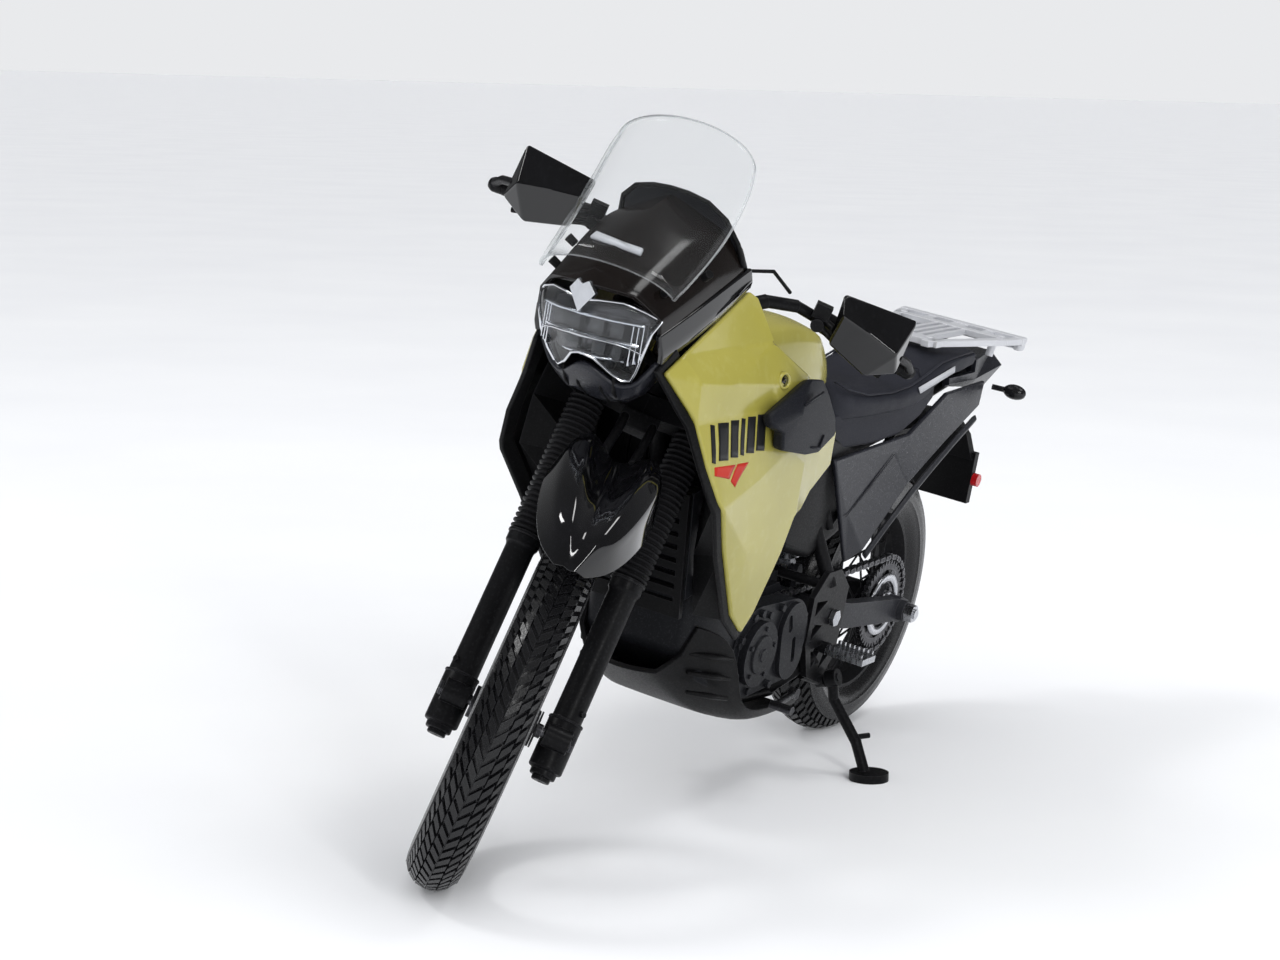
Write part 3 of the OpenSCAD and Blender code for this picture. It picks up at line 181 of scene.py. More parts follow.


# name, two tones, roughness and its spread, grain per mm, height in mm, a lighter tone along sharp edges
# and its share, and anything else the shader needs
FINISHES = {
    "khaki": (
        "khaki_gloss", (0.43, 0.385, 0.075), (0.385, 0.345, 0.062), 0.24, 0.02, 0.5, 0.0003,
        (0.58, 0.54, 0.20), 0.4, {"Coat Weight": 0.4, "Coat Roughness": 0.08},
    ),
    "gloss": (
        "gloss_black", (0.0022, 0.0022, 0.0026), (0.004, 0.004, 0.005), 0.07, 0.025, 1.2, 0.0006,
        (0.03, 0.03, 0.034), 0.3, {"Coat Weight": 0.6, "Coat Roughness": 0.03},
    ),
    "trim": (
        "trim_black", (0.0045, 0.0045, 0.005), (0.0075, 0.0075, 0.008), 0.42, 0.08, 3.0, 0.006,
        (0.05, 0.05, 0.055), 0.45,
    ),
    "frame": (
        "frame_black", (0.0055, 0.0055, 0.0062), (0.009, 0.009, 0.010), 0.36, 0.08, 2.4, 0.006,
        (0.06, 0.06, 0.065), 0.5,
    ),
    "dash": (
        "dash_brown", (0.0055, 0.0042, 0.0038), (0.009, 0.0068, 0.006), 0.16, 0.02, 0.8, 0.0004,
        (0.03, 0.026, 0.024), 0.3, {"Specular IOR Level": 0.3},
    ),
    "engine": (
        "engine_grey", (0.010, 0.0105, 0.0125), (0.017, 0.018, 0.021), 0.40, 0.08, 3.2, 0.010,
        (0.09, 0.09, 0.10), 0.55,
    ),
    "dark_steel": (
        "dark_steel", (0.07, 0.07, 0.077), (0.045, 0.045, 0.05), 0.36, 0.08, 2.0, 0.002, (0.4, 0.4, 0.42),
        0.6, {"stretch": (1, 1, 0.25), "Metallic": 0.9},
    ),
    "steel": (
        "bright_steel", (0.66, 0.67, 0.70), (0.54, 0.55, 0.58), 0.28, 0.07, 2.0, 0.0015, (0.9, 0.9, 0.92),
        0.5, {"stretch": (1, 1, 0.2), "Metallic": 1.0},
    ),
    "arm": (
        "arm_grey", (0.026, 0.027, 0.032), (0.039, 0.040, 0.045), 0.40, 0.07, 2.6, 0.008,
        (0.14, 0.14, 0.15), 0.5,
    ),
    "pad": (
        "pad_grey", (0.011, 0.012, 0.016), (0.017, 0.018, 0.022), 0.46, 0.06, 5.0, 0.014,
        (0.10, 0.10, 0.115), 0.5,
    ),
    "charcoal": (
        "cover_charcoal", (0.010, 0.011, 0.016), (0.017, 0.018, 0.024), 0.30, 0.05, 2.6, 0.006,
        (0.12, 0.12, 0.14), 0.55,
    ),
    "vinyl": (
        "seat_vinyl", (0.026, 0.027, 0.036), (0.019, 0.020, 0.027), 0.52, 0.07, 5.5, 0.03,
        (0.085, 0.085, 0.10), 0.35,
    ),
    "rack": (
        "rack_silver", (0.70, 0.71, 0.74), (0.63, 0.64, 0.67), 0.36, 0.05, 1.2, 0.0008, (0.9, 0.9, 0.92),
        0.4, {"stretch": (0.2, 1, 1), "Metallic": 0.3},
    ),
    "rubber": (
        "tyre_rubber", (0.005, 0.005, 0.0056), (0.009, 0.009, 0.010), 0.28, 0.08, 2.8, 0.02,
        (0.035, 0.035, 0.04), 0.5,
    ),
    "soft": (
        "soft_rubber", (0.006, 0.006, 0.0066), (0.010, 0.010, 0.011), 0.50, 0.08, 4.0, 0.012,
        (0.04, 0.04, 0.045), 0.4,
    ),
    "rim": (
        "rim_black", (0.007, 0.007, 0.008), (0.012, 0.012, 0.0135), 0.36, 0.08, 2.4, 0.006,
        (0.08, 0.08, 0.085), 0.5,
    ),
    "chrome": (
        "reflector_chrome", (0.80, 0.82, 0.85), (0.66, 0.68, 0.72), 0.14, 0.04, 1.2, 0.0008,
        (0.95, 0.95, 0.97), 0.4, {"Metallic": 1.0},
    ),
    "bowl": (
        "bowl_dark", (0.10, 0.10, 0.11), (0.05, 0.05, 0.056), 0.22, 0.05, 1.0, 0.0008, None, 0,
        {"Metallic": 0.9},
    ),
    "red": (
        "red_lens", (0.60, 0.012, 0.016), (0.42, 0.008, 0.012), 0.16, 0.05, 2.0, 0.006, (0.8, 0.12, 0.12),
        0.3, {"Coat Weight": 0.5},
    ),
    "smoke": (
        "signal_smoke", (0.006, 0.006, 0.007), (0.010, 0.010, 0.011), 0.18, 0.05, 2.2, 0.004,
        (0.08, 0.08, 0.09), 0.3,
    ),
    "print_dark": (
        "print_dark", (0.012, 0.012, 0.013), (0.020, 0.020, 0.021), 0.34, 0.05, 3.0, 0.002, None, 0,
    ),
    "print_red": ("print_red", (0.55, 0.035, 0.02), (0.46, 0.03, 0.02), 0.34, 0.05, 3.0, 0.002, None, 0),
    "print_pale": ("print_pale", (0.62, 0.63, 0.66), (0.54, 0.55, 0.58), 0.36, 0.05, 3.0, 0.002, None, 0),
}
F = {key: finish(*row) for key, row in FINISHES.items()}
F.update({
    "screen": clear("clear_screen", (0.985, 0.99, 0.99), (0.80, 0.82, 0.82), 0.006),
    "screen_edge": clear("clear_edge", (0.86, 0.88, 0.89), (0.62, 0.64, 0.66), 0.30, 0.06),
    "lens": clear("clear_lens", (0.95, 0.96, 0.97), (0.70, 0.72, 0.74), 0.02, 0.02),
})

CAD_FINISH = {row[0]: key for key, row in FINISHES.items()}
CAD_FINISH.update(clear_lens="lens", clear_screen="screen", reflector="chrome", vinyl="vinyl")
SLOT_OF = {finish_name: slot for slot, finish_name in CAD_FINISH.items()}
SLOT_OF.update(
    dash="gloss_black", bowl="reflector", print_dark="gloss_black", print_red="red_lens",
    print_pale="rack_silver", screen_edge="clear_screen",
)

for node in frame["nodes"].values():
    for material_slot in node.material_slots:
        material_slot.material = F[CAD_FINISH[material_slot.material.name.split(".")[0]]]


# ---- mesh helpers; every point is in millimetres in the space that is named ----


class Shape:
    """Points and faces gathered from several solids, each face with a finish number."""

    def __init__(self):
        self.points = []
        self.faces = []
        self.slots = []

    def add(self, points, faces, slot=0):
        base = len(self.points)
        self.points += [Vector(p) for p in points]
        self.faces += [[base + i for i in f] for f in faces]
        self.slots += [slot] * len(faces)
        return self

    def block(self, lo, hi, slot=0):
        corners = [(x, y, z) for x in (lo[0], hi[0]) for y in (lo[1], hi[1]) for z in (lo[2], hi[2])]
        walls = [[0, 1, 3, 2], [4, 6, 7, 5], [0, 4, 5, 1], [2, 3, 7, 6], [0, 2, 6, 4], [1, 5, 7, 3]]
        return self.add(corners, walls, slot)

    def rings(self, rings, slot=0, closed=False):
        """Skin through rings of points; capped at both ends unless the row of rings closes on itself."""
        count = len(rings[0])
        points = [p for ring in rings for p in ring]
        rows = len(rings) if closed else len(rings) - 1
        faces = []
        for i in range(rows):
            a = i * count
            b = (i + 1) % len(rings) * count
            for j in range(count):
                k = (j + 1) % count
                faces.append([a + j, a + k, b + k, b + j])
        if not closed:
            faces.append(list(range(count))[::-1])
            faces.append([(len(rings) - 1) * count + j for j in range(count)])
        return self.add(points, faces, slot)

    def lathe(self, profile, steps=48, slot=0, at=(0, 0, 0)):
        """Closed outline of (radius, z) turned about z, through the point at."""
        rings = []
        for i in range(steps):
            a = 2 * pi * i / steps
            rings.append([Vector((r * cos(a), r * sin(a), z)) + Vector(at) for r, z in profile])
        return self.rings(rings, slot, closed=True)

    def tube(self, path, radius, steps=14, slot=0):
        """Round bar along a path of points; radius is one number or one per point."""
        path = [Vector(p) for p in path]
        rings = []
        side_way = None
        for i, p in enumerate(path):
            along = (path[min(i + 1, len(path) - 1)] - path[max(i - 1, 0)]).normalized()
            if side_way is None:
                side_way = along.orthogonal().normalized()
            side_way = (side_way - along * side_way.dot(along)).normalized()
            other = along.cross(side_way)
            r = radius[i] if isinstance(radius, (list, tuple)) else radius
            rings.append(
                [
                    p + (side_way * cos(a) + other * sin(a)) * r
                    for a in (2 * pi * k / steps for k in range(steps))
                ]
            )
        return self.rings(rings, slot)

    def prism(self, outline, shift, slot=0):
        """Flat or bent outline pushed along shift."""
        n = len(outline)
        shift = Vector(shift)
        points = [Vector(p) for p in outline] + [Vector(p) + shift for p in outline]
        faces = [list(range(n))[::-1], [n + i for i in range(n)]]
        faces += [[i, (i + 1) % n, n + (i + 1) % n, n + i] for i in range(n)]
        return self.add(points, faces, slot)

    def mirrored(self):
        other = Shape()
        other.points = [Vector((p.x, -p.y, p.z)) for p in self.points]
        other.faces = [f[::-1] for f in self.faces]
        other.slots = list(self.slots)
        return other

    def sided(self, s):
        """The shape for the left side as it is, or its mirror image for the right."""
        return self if s > 0 else self.mirrored()

    def both(self):
        other = self.mirrored()
        base = len(self.points)
        self.points += other.points
        self.faces += [[base + i for i in f] for f in other.faces]
        self.slots += other.slots
        return self


def turn_outward(mesh):
    """Turns every separate closed shell so that its faces point outward."""
    work = bmesh.new()
    work.from_mesh(mesh)
    bmesh.ops.recalc_face_normals(work, faces=work.faces)
    work.to_mesh(mesh)
    work.free()


def put(name, data):
    """An object that shows the data, in the scene."""
    obj = bpy.data.objects.new(name, data)
    bpy.context.scene.collection.objects.link(obj)
    return obj


def piece(name, shape, space, body, finishes, stands_for=(), inside=None, flat=False):
    """Makes the object. An open sheet gives a point inside it, so that its faces turn away from there."""
    mesh = bpy.data.meshes.new(name)
    mesh.from_pydata([space @ p for p in shape.points], [], shape.faces)
    mesh.polygons.foreach_set("material_index", shape.slots)
    for one in finishes:
        mesh.materials.append(F[one])
    turn_outward(mesh)
    if inside is not None:
        centre = space @ Vector(inside)
        out = sum((p.center - centre).dot(p.normal) * p.area for p in mesh.polygons)
        if out < 0:
            mesh.flip_normals()
    mesh.update()
    if flat:
        mesh.shade_flat()
    else:
        mesh.shade_smooth()
    obj = put(name, mesh)
    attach(obj, body)
    if stands_for:
        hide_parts(*stands_for)
    return obj


def fixed(name, shape, *rest, **named):
    """A piece that stays with the frame, in the bike's own space."""
    return piece(name, shape, BIKE, "chassis", *rest, **named)


def subdivide(obj, levels):
    mod = obj.modifiers.new("subdivide", "SUBSURF")
    mod.levels = mod.render_levels = levels
    return obj


def thicken(obj, depth, rim=0, inner=0):
    mod = obj.modifiers.new("thicken", "SOLIDIFY")
    mod.thickness = depth * MM
    mod.offset = -1
    mod.use_even_offset = True
    mod.material_offset = inner
    mod.material_offset_rim = rim
    return obj


def soften(obj, width, angle=25, segments=3):
    mod = obj.modifiers.new("soften", "BEVEL")
    mod.width = width * MM
    mod.segments = segments
    mod.limit_method = "ANGLE"
    mod.angle_limit = radians(angle)
    mod.harden_normals = True
    return obj


def crease(obj, value, angle=30):
    """Keeps the sharp edges of a control mesh firm when it is subdivided."""
    work = bmesh.new()
    work.from_mesh(obj.data)
    layer = work.edges.layers.float.get("crease_edge") or work.edges.layers.float.new("crease_edge")
    for edge in work.edges:
        if edge.is_boundary:
            edge[layer] = max(value, 0.9)
        elif len(edge.link_faces) == 2 and edge.calc_face_angle() > radians(angle):
            edge[layer] = value
    work.to_mesh(obj.data)
    work.free()
    return obj


def grid(rows):
    shape = Shape()
    cols = len(rows[0])
    points = [p for row in rows for p in row]
    faces = [
        [i * cols + j, i * cols + j + 1, (i + 1) * cols + j + 1, (i + 1) * cols + j]
        for i in range(len(rows) - 1)
        for j in range(cols - 1)
    ]
    return shape.add(points, faces)


def across(row):
    """The whole row across the bike from its left half, which ends on the centre plane."""
    return list(row) + [(p[0], -p[1], p[2]) for p in row[-2::-1]]


def full(half_rows):
    return [across(row) for row in half_rows]


def polar(r, a, z):
    return (r * cos(a), r * sin(a), z)


# ---- tyres ----


def tyre(name, space, body, radius, half, bead, count, stands_for):
    shape = Shape()
    centre = radius - half
    deep = 0.62
    sunk = half - deep - 0.1
    profile = []
    for step in range(-27, 28):
        lean = step * 4.75
        a = radians(lean)
        r = half - (deep if abs(lean) < 63 else 0.0)
        ridge = 0.14 if 64 < abs(lean) < 70 or 98 < abs(lean) < 104 else 0.0
        profile.append((centre + (r + ridge) * cos(a), (r + ridge) * sin(a)))
    profile += [(bead, half * 0.7), (bead, -half * 0.7)]
    shape.lathe(profile, 144)
    bands = [(1.5, 21, 0.0, 0.62), (24, 42.5, 0.42, 0.60), (45.5, 64, 0.0, 0.54)]
    pitch = 2 * pi / count
    for i in range(count):
        for side in (-1, 1):
            for low, high, stagger, width in bands:
                middle = (i + stagger + (0.5 if side > 0 else 0)) * pitch
                middle += random.uniform(-0.03, 0.03) * pitch
                top = []
                foot = []
                for angle, edge in ((low, -1), (high, -1), (high, 1), (low, 1)):
                    lean_back = -1.15 * pitch * angle / 30
                    around = middle + lean_back + edge * width * pitch / 2
                    wide = middle + lean_back + edge * (width + 0.12) * pitch / 2
                    tip = radians(angle) * side
                    lift = half + random.uniform(-0.04, 0.02)
                    spread = 0.6 if angle == high else -0.6
                    base = radians(angle + spread) * side
                    top.append(polar(centre + lift * cos(tip), around, lift * sin(tip)))
                    foot.append(polar(centre + sunk * cos(base), wide, sunk * sin(base)))
                shape.rings([foot, top])
    made = piece(name, shape, space, body, ["rubber"], [stands_for])
    smooth_by_angle(made, 28)
    return made


def smooth_by_angle(obj, degrees):
    """Marks edges sharper than the given angle, so that smooth shading stops there."""
    work = bmesh.new()
    work.from_mesh(obj.data)
    for edge in work.edges:
        if len(edge.link_faces) == 2:
            edge.smooth = edge.calc_face_angle() < radians(degrees)
    work.to_mesh(obj.data)
    work.free()
    return obj


tyre("front_tyre_treaded", FRONT_WHEEL, "front_wheel", 29, 4.5, 22.3, 76, "front_tyre")
tyre("rear_tyre_treaded", REAR_WHEEL, "rear_wheel", 27.2, 5.2, 18.1, 66, "rear_tyre")


def tooth_ring(shape, inner, outer, tip, count, z0, z1):
    """Toothed ring plate."""
    rings = []
    for i in range(count * 4):
        a = 2 * pi * i / (count * 4)
        r = tip if i % 4 in (1, 2) else outer
        rings.append([polar(inner, a, z0), polar(r, a, z0), polar(r, a, z1), polar(inner, a, z1)])
    shape.rings(rings, 0, closed=True)


rear_drive = Shape()
tooth_ring(rear_drive, 6.9, 7.9, 8.75, 42, 6.38, 7.42)
for k in range(6):
    a0 = 2 * pi * k / 6
    spoke = [
        polar(3.6, a0 - 0.42, 6.36), polar(7.2, a0 - 0.16, 6.36), polar(7.2, a0 + 0.16, 6.36),
        polar(3.6, a0 + 0.42, 6.36),
    ]
    rear_drive.prism(spoke, (0, 0, 1.1))
rear_drive.lathe([(1.2, 6.3), (4.3, 6.3), (4.3, 7.6), (3.4, 8.2), (1.2, 8.2)], 40)
for k in range(6):
    a0 = 2 * pi * (k + 0.5) / 6
    x, y, z = polar(3.4, a0, 7.5)
    hexagon = [(x + 0.5 * cos(pi * q / 3), y + 0.5 * sin(pi * q / 3)) for q in range(6)]
    rear_drive.rings([[(*p, h) for p in hexagon] for h in (7.5, 8.7)])
soften(piece("rear_sprocket_face", rear_drive, REAR_WHEEL, "rear_wheel", ["dark_steel"]), 0.08, 30, 2)
boss = Shape().lathe([(4.7, 7.38), (6.1, 7.38), (6.25, 7.6), (6.1, 7.9), (4.7, 7.9)], 48)
boss.lathe([(1.2, 8.15), (2.9, 8.15), (2.7, 8.5), (1.2, 8.5)], 32)
piece("rear_hub_rings", boss, REAR_WHEEL, "rear_wheel", ["steel"])

rear_brake = Shape()
for i in range(24):
    a0 = 2 * pi * i / 24
    a1 = a0 + 2 * pi / 24 * 0.78
    rear_brake.rings(
        [
            [polar(r, a, z) for r, z in ((7.7, -6.68), (10.1, -6.68), (10.1, -6.08), (7.7, -6.08))]
            for a in (a0, (a0 + a1) / 2, a1)
        ]
    )
rear_brake.lathe([(7.5, -6.66), (8.1, -6.66), (8.1, -6.1), (7.5, -6.1)], 72)
rear_brake.lathe([(9.7, -6.66), (10.15, -6.66), (10.15, -6.1), (9.7, -6.1)], 72)
piece("rear_disc_face", rear_brake, REAR_WHEEL, "rear_wheel", ["steel"], flat=True)

# ---- fork ----

folds = []
FOLDS = 27
LOW, HIGH = 58.15, 83.2
for i in range(FOLDS):
    z = LOW + (HIGH - LOW) * i / FOLDS
    step = (HIGH - LOW) / FOLDS
    folds += [
        (2.38, z), (2.5, z + step * 0.12), (2.88, z + step * 0.32), (2.95, z + step * 0.5),
        (2.88, z + step * 0.68), (2.5, z + step * 0.88),
    ]
folds += [(2.38, HIGH), (1.9, HIGH), (1.9, LOW)]
gaiter = Shape()
for s in (-1, 1):
    gaiter.lathe(folds, 40, at=(LEG_X, s * LEG_Y, 0))
piece("fork_gaiter_folds", gaiter, FORK, "fork", ["soft"], ["fork_gaiters"])

legs = Shape()
LEG = [
    (0.9, 24.2), (1.95, 24.2), (2.1, 24.4), (2.1, 25.2), (2.6, 25.35), (2.75, 25.6), (2.75, 33.2),
    (2.6, 33.6), (2.4, 33.9), (2.36, 40), (2.36, 55.4), (2.5, 55.8), (2.72, 56.1), (2.72, 57.6),
    (2.5, 57.9), (1.9, 57.9), (1.9, 45), (0.9, 45),
]
for s in (-1, 1):
    legs.lathe(LEG, 48, at=(LEG_X, s * LEG_Y, 0))
    legs.tube([(AXLE_X, s * 6.4, AXLE_Z), (AXLE_X, s * 10.6, AXLE_Z)], [1.9, 1.9], 32)
    legs.block((2.9, s * 8.5 - 1.9, 28.4), (5.7, s * 8.5 + 1.9, 32.0))
casting = piece("fork_leg_castings", legs, FORK, "fork", ["frame"], ["fork_leg_left", "fork_leg_right"])
soften(casting, 0.18, 30, 2)
spindle = Shape()
spindle.tube([(AXLE_X, -11.2, AXLE_Z), (AXLE_X, 11.2, AXLE_Z)], 0.8, 20)
for s in (-1, 1):
    spindle.tube([(AXLE_X, s * 10.7, AXLE_Z), (AXLE_X, s * 11.3, AXLE_Z)], [1.35, 1.2], 6)
spindle.tube([(AXLE_X, -5.9, AXLE_Z), (AXLE_X, -4.75, AXLE_Z)], 2.6, 32)
spindle.tube([(AXLE_X, 4.9, AXLE_Z), (AXLE_X, 5.9, AXLE_Z)], 1.15, 24)
soften(piece("front_spindle", spindle, FORK, "fork", ["dark_steel"], ["front_axle"]), 0.12, 30, 2)

trims = Shape()
for s in (-1, 1):
    for z0, z1, r, r0 in ((57.5, 58.1, 2.92, 2.2), (33.3, 33.8, 2.86, 2.0), (23.5, 24.2, 1.5, 0.4)):
        outline = [(r0, z0), (r - 0.12, z0), (r, z0 + 0.12), (r, z1 - 0.12), (r - 0.12, z1), (r0, z1)]
        trims.lathe(outline, 40, at=(LEG_X, s * LEG_Y, 0))
    trims.tube([(4.4, s * 10.4, 35.4), (4.9, s * 10.9, 35.4)], 0.5, 12)
piece("fork_leg_trims", trims, FORK, "fork", ["frame"])
smooth_by_angle(bpy.data.objects["fork_leg_trims"], 30)

hub = Shape()
for z0 in (5.0, 5.55):
    hub.lathe([(1.2, z0), (2.98, z0), (2.98, z0 + 0.24), (1.2, z0 + 0.24)], 36)
piece("front_hub_ribs", hub, FRONT_WHEEL, "front_wheel", ["rim"], flat=True)

guard_half = [
    [(80.3, 2.5, 60.2), (80.9, 1.7, 60.6), (81.3, 0.9, 60.9), (81.6, 0.0, 60.6)],
    [(77.0, 5.6, 60.8), (78.2, 4.6, 64.8), (78.8, 2.4, 66.1), (79.0, 0.0, 64.6)],
    [(71.4, 7.8, 62.8), (71.9, 6.6, 68.2), (72.3, 3.7, 70.0), (72.7, 0.0, 67.2)],
    [(64.0, 9.0, 64.6), (64.1, 7.7, 70.6), (64.3, 4.4, 72.2), (64.6, 0.0, 67.8)],
    [(57.0, 9.2, 66.4), (56.9, 7.9, 71.9), (57.0, 4.9, 73.0), (57.0, 0.0, 68.4)],
    [(50.9, 7.2, 69.8), (50.6, 6.2, 71.9), (50.8, 4.4, 72.2), (51.0, 0.0, 69.0)],
]
guard = grid([[(p[0], p[1] - 0.7, p[2]) for p in row] for row in full(guard_half)])
mudguard = piece(
    "mudguard_shell", guard, STEERED, "fork", ["gloss"], ["front_fender"], inside=(66, 0, 50),
)
subdivide(crease(mudguard, 0.35), 3)
thicken(mudguard, 0.8)
soften(mudguard, 0.16, 50, 2)

stays = Shape()
for s in (-1, 1):
    stays.tube(
        [
            (4.4, s * 2.4, 82), (8, s * 2.4, 79.2), (12.4, s * 2.4 - 0.5, 74.6),
            (15.2, s * 2.4 - 0.7, 72.2),
        ],
        0.75,
    )
stays.block((0.6, -3.2, 80.2), (5.4, 3.2, 83.1))
soften(piece("mudguard_stays", stays, FORK, "fork", ["frame"]), 0.2)

# ---- handguards ----

guard_points = [
    (18.0, 22.0, 101.7), (15.5, 35.0, 102.0), (16.4, 35.3, 92.5), (18.0, 30.5, 90.3), (18.6, 23.0, 92.9),
    (20.8, 23.2, 98.8), (20.0, 33.8, 96.3), (19.9, 28.6, 97.6),
]
guard_faces = [
    [0, 7, 6, 1], [0, 5, 7], [1, 6, 2], [2, 6, 3], [3, 6, 7], [3, 7, 4], [4, 7, 5], [4, 5, 0],
]
for label, s in SIDES:
    shape = Shape().add(guard_points, guard_faces).sided(s)
    cover = piece("handguard_shell_" + label, shape, STEERED, "fork", ["gloss"], inside=(8, s * 28, 96))
    thicken(cover, 1.0)
    soften(cover, 0.4, 12, 3)
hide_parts("handguards")
arms = Shape()
arms.tube([(16.8, 34.4, 95.4), (12.6, 36.6, 94.2), (8.9, 38.0, 92.2)], 0.75)
arms.tube([(9.15, 36.2, 92.34), (8.8, 37.9, 92.1), (8.5, 38.5, 92.0)], [1.3, 1.3, 0.9], 20)
arms.tube([(17.6, 23.0, 95.4), (14.4, 20.2, 95.6)], 0.7)
arms.both()
soften(piece("handguard_arms", arms, STEERED, "fork", ["frame"]), 0.2)

# ---- shrouds ----

SHROUD = {
    "L0": (49.48, 12.0, 84.13), "L2": (45.45, 15.4, 78.36), "R1": (44.37, 16.3, 76.79),
    "R2": (42.73, 18.7, 70.34), "R3": (40.3, 20.6, 64.96), "R4": (39.19, 21.0, 63.58),
    "R5": (33.02, 19.5, 55.3), "R6": (23.73, 18.4, 42.75), "TIP": (18.57, 18.2, 38.94),
    "b1": (15.66, 18.3, 41.76), "b2": (10.24, 18.75, 51.72), "b3": (7.67, 18.8, 57.94),
    "b4": (3.07, 17.4, 57.75), "low1": (-2.24, 16.05, 60.01), "bk2": (-12.4, 14.4, 63.2),
    "bk1": (-12.6, 14.2, 68.9), "u16": (-3.74, 15.2, 75.39), "ptr": (6.29, 15.6, 81.31),
    "A1": (17.25, 13.7, 87.08), "topr": (22.95, 12.0, 94.51), "topl": (25.41, 11.8, 95.5),
    "A0": (46.15, 12.8, 86.79), "B0": (43.8, 15.5, 83.02), "Bm": (34.44, 16.4, 82.17),
    "B1": (20.48, 16.6, 80.86), "B2": (7.64, 15.9, 79.98), "Cm": (34.02, 16.4, 77.0),
    "C1": (19.36, 16.4, 76.96), "D": (24.02, 19.0, 66.02), "P30": (13.14, 18.2, 69.81),
    "P31": (5.71, 17.8, 66.42), "E": (25.51, 19.6, 54.22),
}
SHROUD_FACES = [
    "topl topr A1 A0", "A0 A1 Bm B0", "A1 B1 Bm", "L0 A0 B0", "L0 B0 L2", "L2 B0 R1", "B0 Bm Cm R1",
    "Bm B1 C1 Cm", "A1 ptr B2 B1", "B1 B2 P30 C1", "B2 ptr u16", "B2 u16 P31 P30", "R1 Cm R2",
    "Cm C1 D R2", "R2 D R3", "R3 D R4", "C1 P30 D", "P30 P31 D", "R4 D E", "R4 E R5", "R5 E R6",
    "R6 E b1", "R6 b1 TIP", "D P31 b3", "D b3 E", "E b3 b2", "E b2 b1", "P31 b4 b3", "P31 low1 b4",
    "P31 u16 bk1", "P31 bk1 bk2 low1",
]
names = list(SHROUD)
shroud_triangles = [
    [names.index(keys[q]) for q in (0, k, k + 1)]
    for keys in (f.split() for f in SHROUD_FACES)
    for k in range(1, len(keys) - 1)
]
lip_path = ["A0", "L0", "L2", "R1", "R2", "R3", "R4", "R5", "R6", "TIP", "b1"]
LIP_OUT = [
    (0.8, 0.9), (1.5, 0.2), (1.1, -0.7), (1.1, -0.6), (1.4, -0.1), (1.2, -0.6), (1.0, -0.9), (0.9, -0.9),
    (0.9, -0.9), (0.2, -1.5), (-1.0, -0.7),
]


def hit_shroud(x, z):
    """Height in y of the shroud's control surface at a side-view place."""
    best = None
    for face in SHROUD_FACES:
        keys = face.split()
        for k in range(1, len(keys) - 1):
            a, b, c = (Vector(SHROUD[q]) for q in (keys[0], keys[k], keys[k + 1]))
            det = (b.x - a.x) * (c.z - a.z) - (c.x - a.x) * (b.z - a.z)
            if abs(det) < 1e-6:
                continue
            u = ((x - a.x) * (c.z - a.z) - (c.x - a.x) * (z - a.z)) / det
            v = ((b.x - a.x) * (z - a.z) - (x - a.x) * (b.z - a.z)) / det
            miss = max(-u, -v, u + v - 1, 0)
            if best is None or miss < best[0]:
                best = (miss, a.y + u * (b.y - a.y) + v * (c.y - a.y))
    return best[1]


def decal(shape, outline, slot, out=0.1, cells=6):
    """Thin printed patch that follows the shroud: a four-cornered outline split into cells."""
    a, b, c, d = (Vector((p[0], 0, p[1])) for p in outline)
    top = []
    for i in range(cells + 1):
        for j in range(cells + 1):
            left = a.lerp(d, i / cells)
            right = b.lerp(c, i / cells)
            p = left.lerp(right, j / cells)
            top.append(Vector((p.x, hit_shroud(p.x, p.z) + out, p.z)))
    under = [Vector((p.x, p.y - out - 0.12, p.z)) for p in top]
    n = cells + 1
    faces = []
    for i in range(cells):
        for j in range(cells):
            q = [i * n + j, i * n + j + 1, (i + 1) * n + j + 1, (i + 1) * n + j]
            faces.append(q)
            faces.append([n * n + k for k in q[::-1]])
    loop = list(range(n)) + [i * n + cells for i in range(1, n)]
    loop += [cells * n + j for j in range(cells - 1, -1, -1)] + [i * n for i in range(cells - 1, 0, -1)]
    for k in range(len(loop)):
        p, q = loop[k], loop[(k + 1) % len(loop)]
        faces.append([q, p, p + n * n, q + n * n])
    shape.add(top + under, faces, slot)


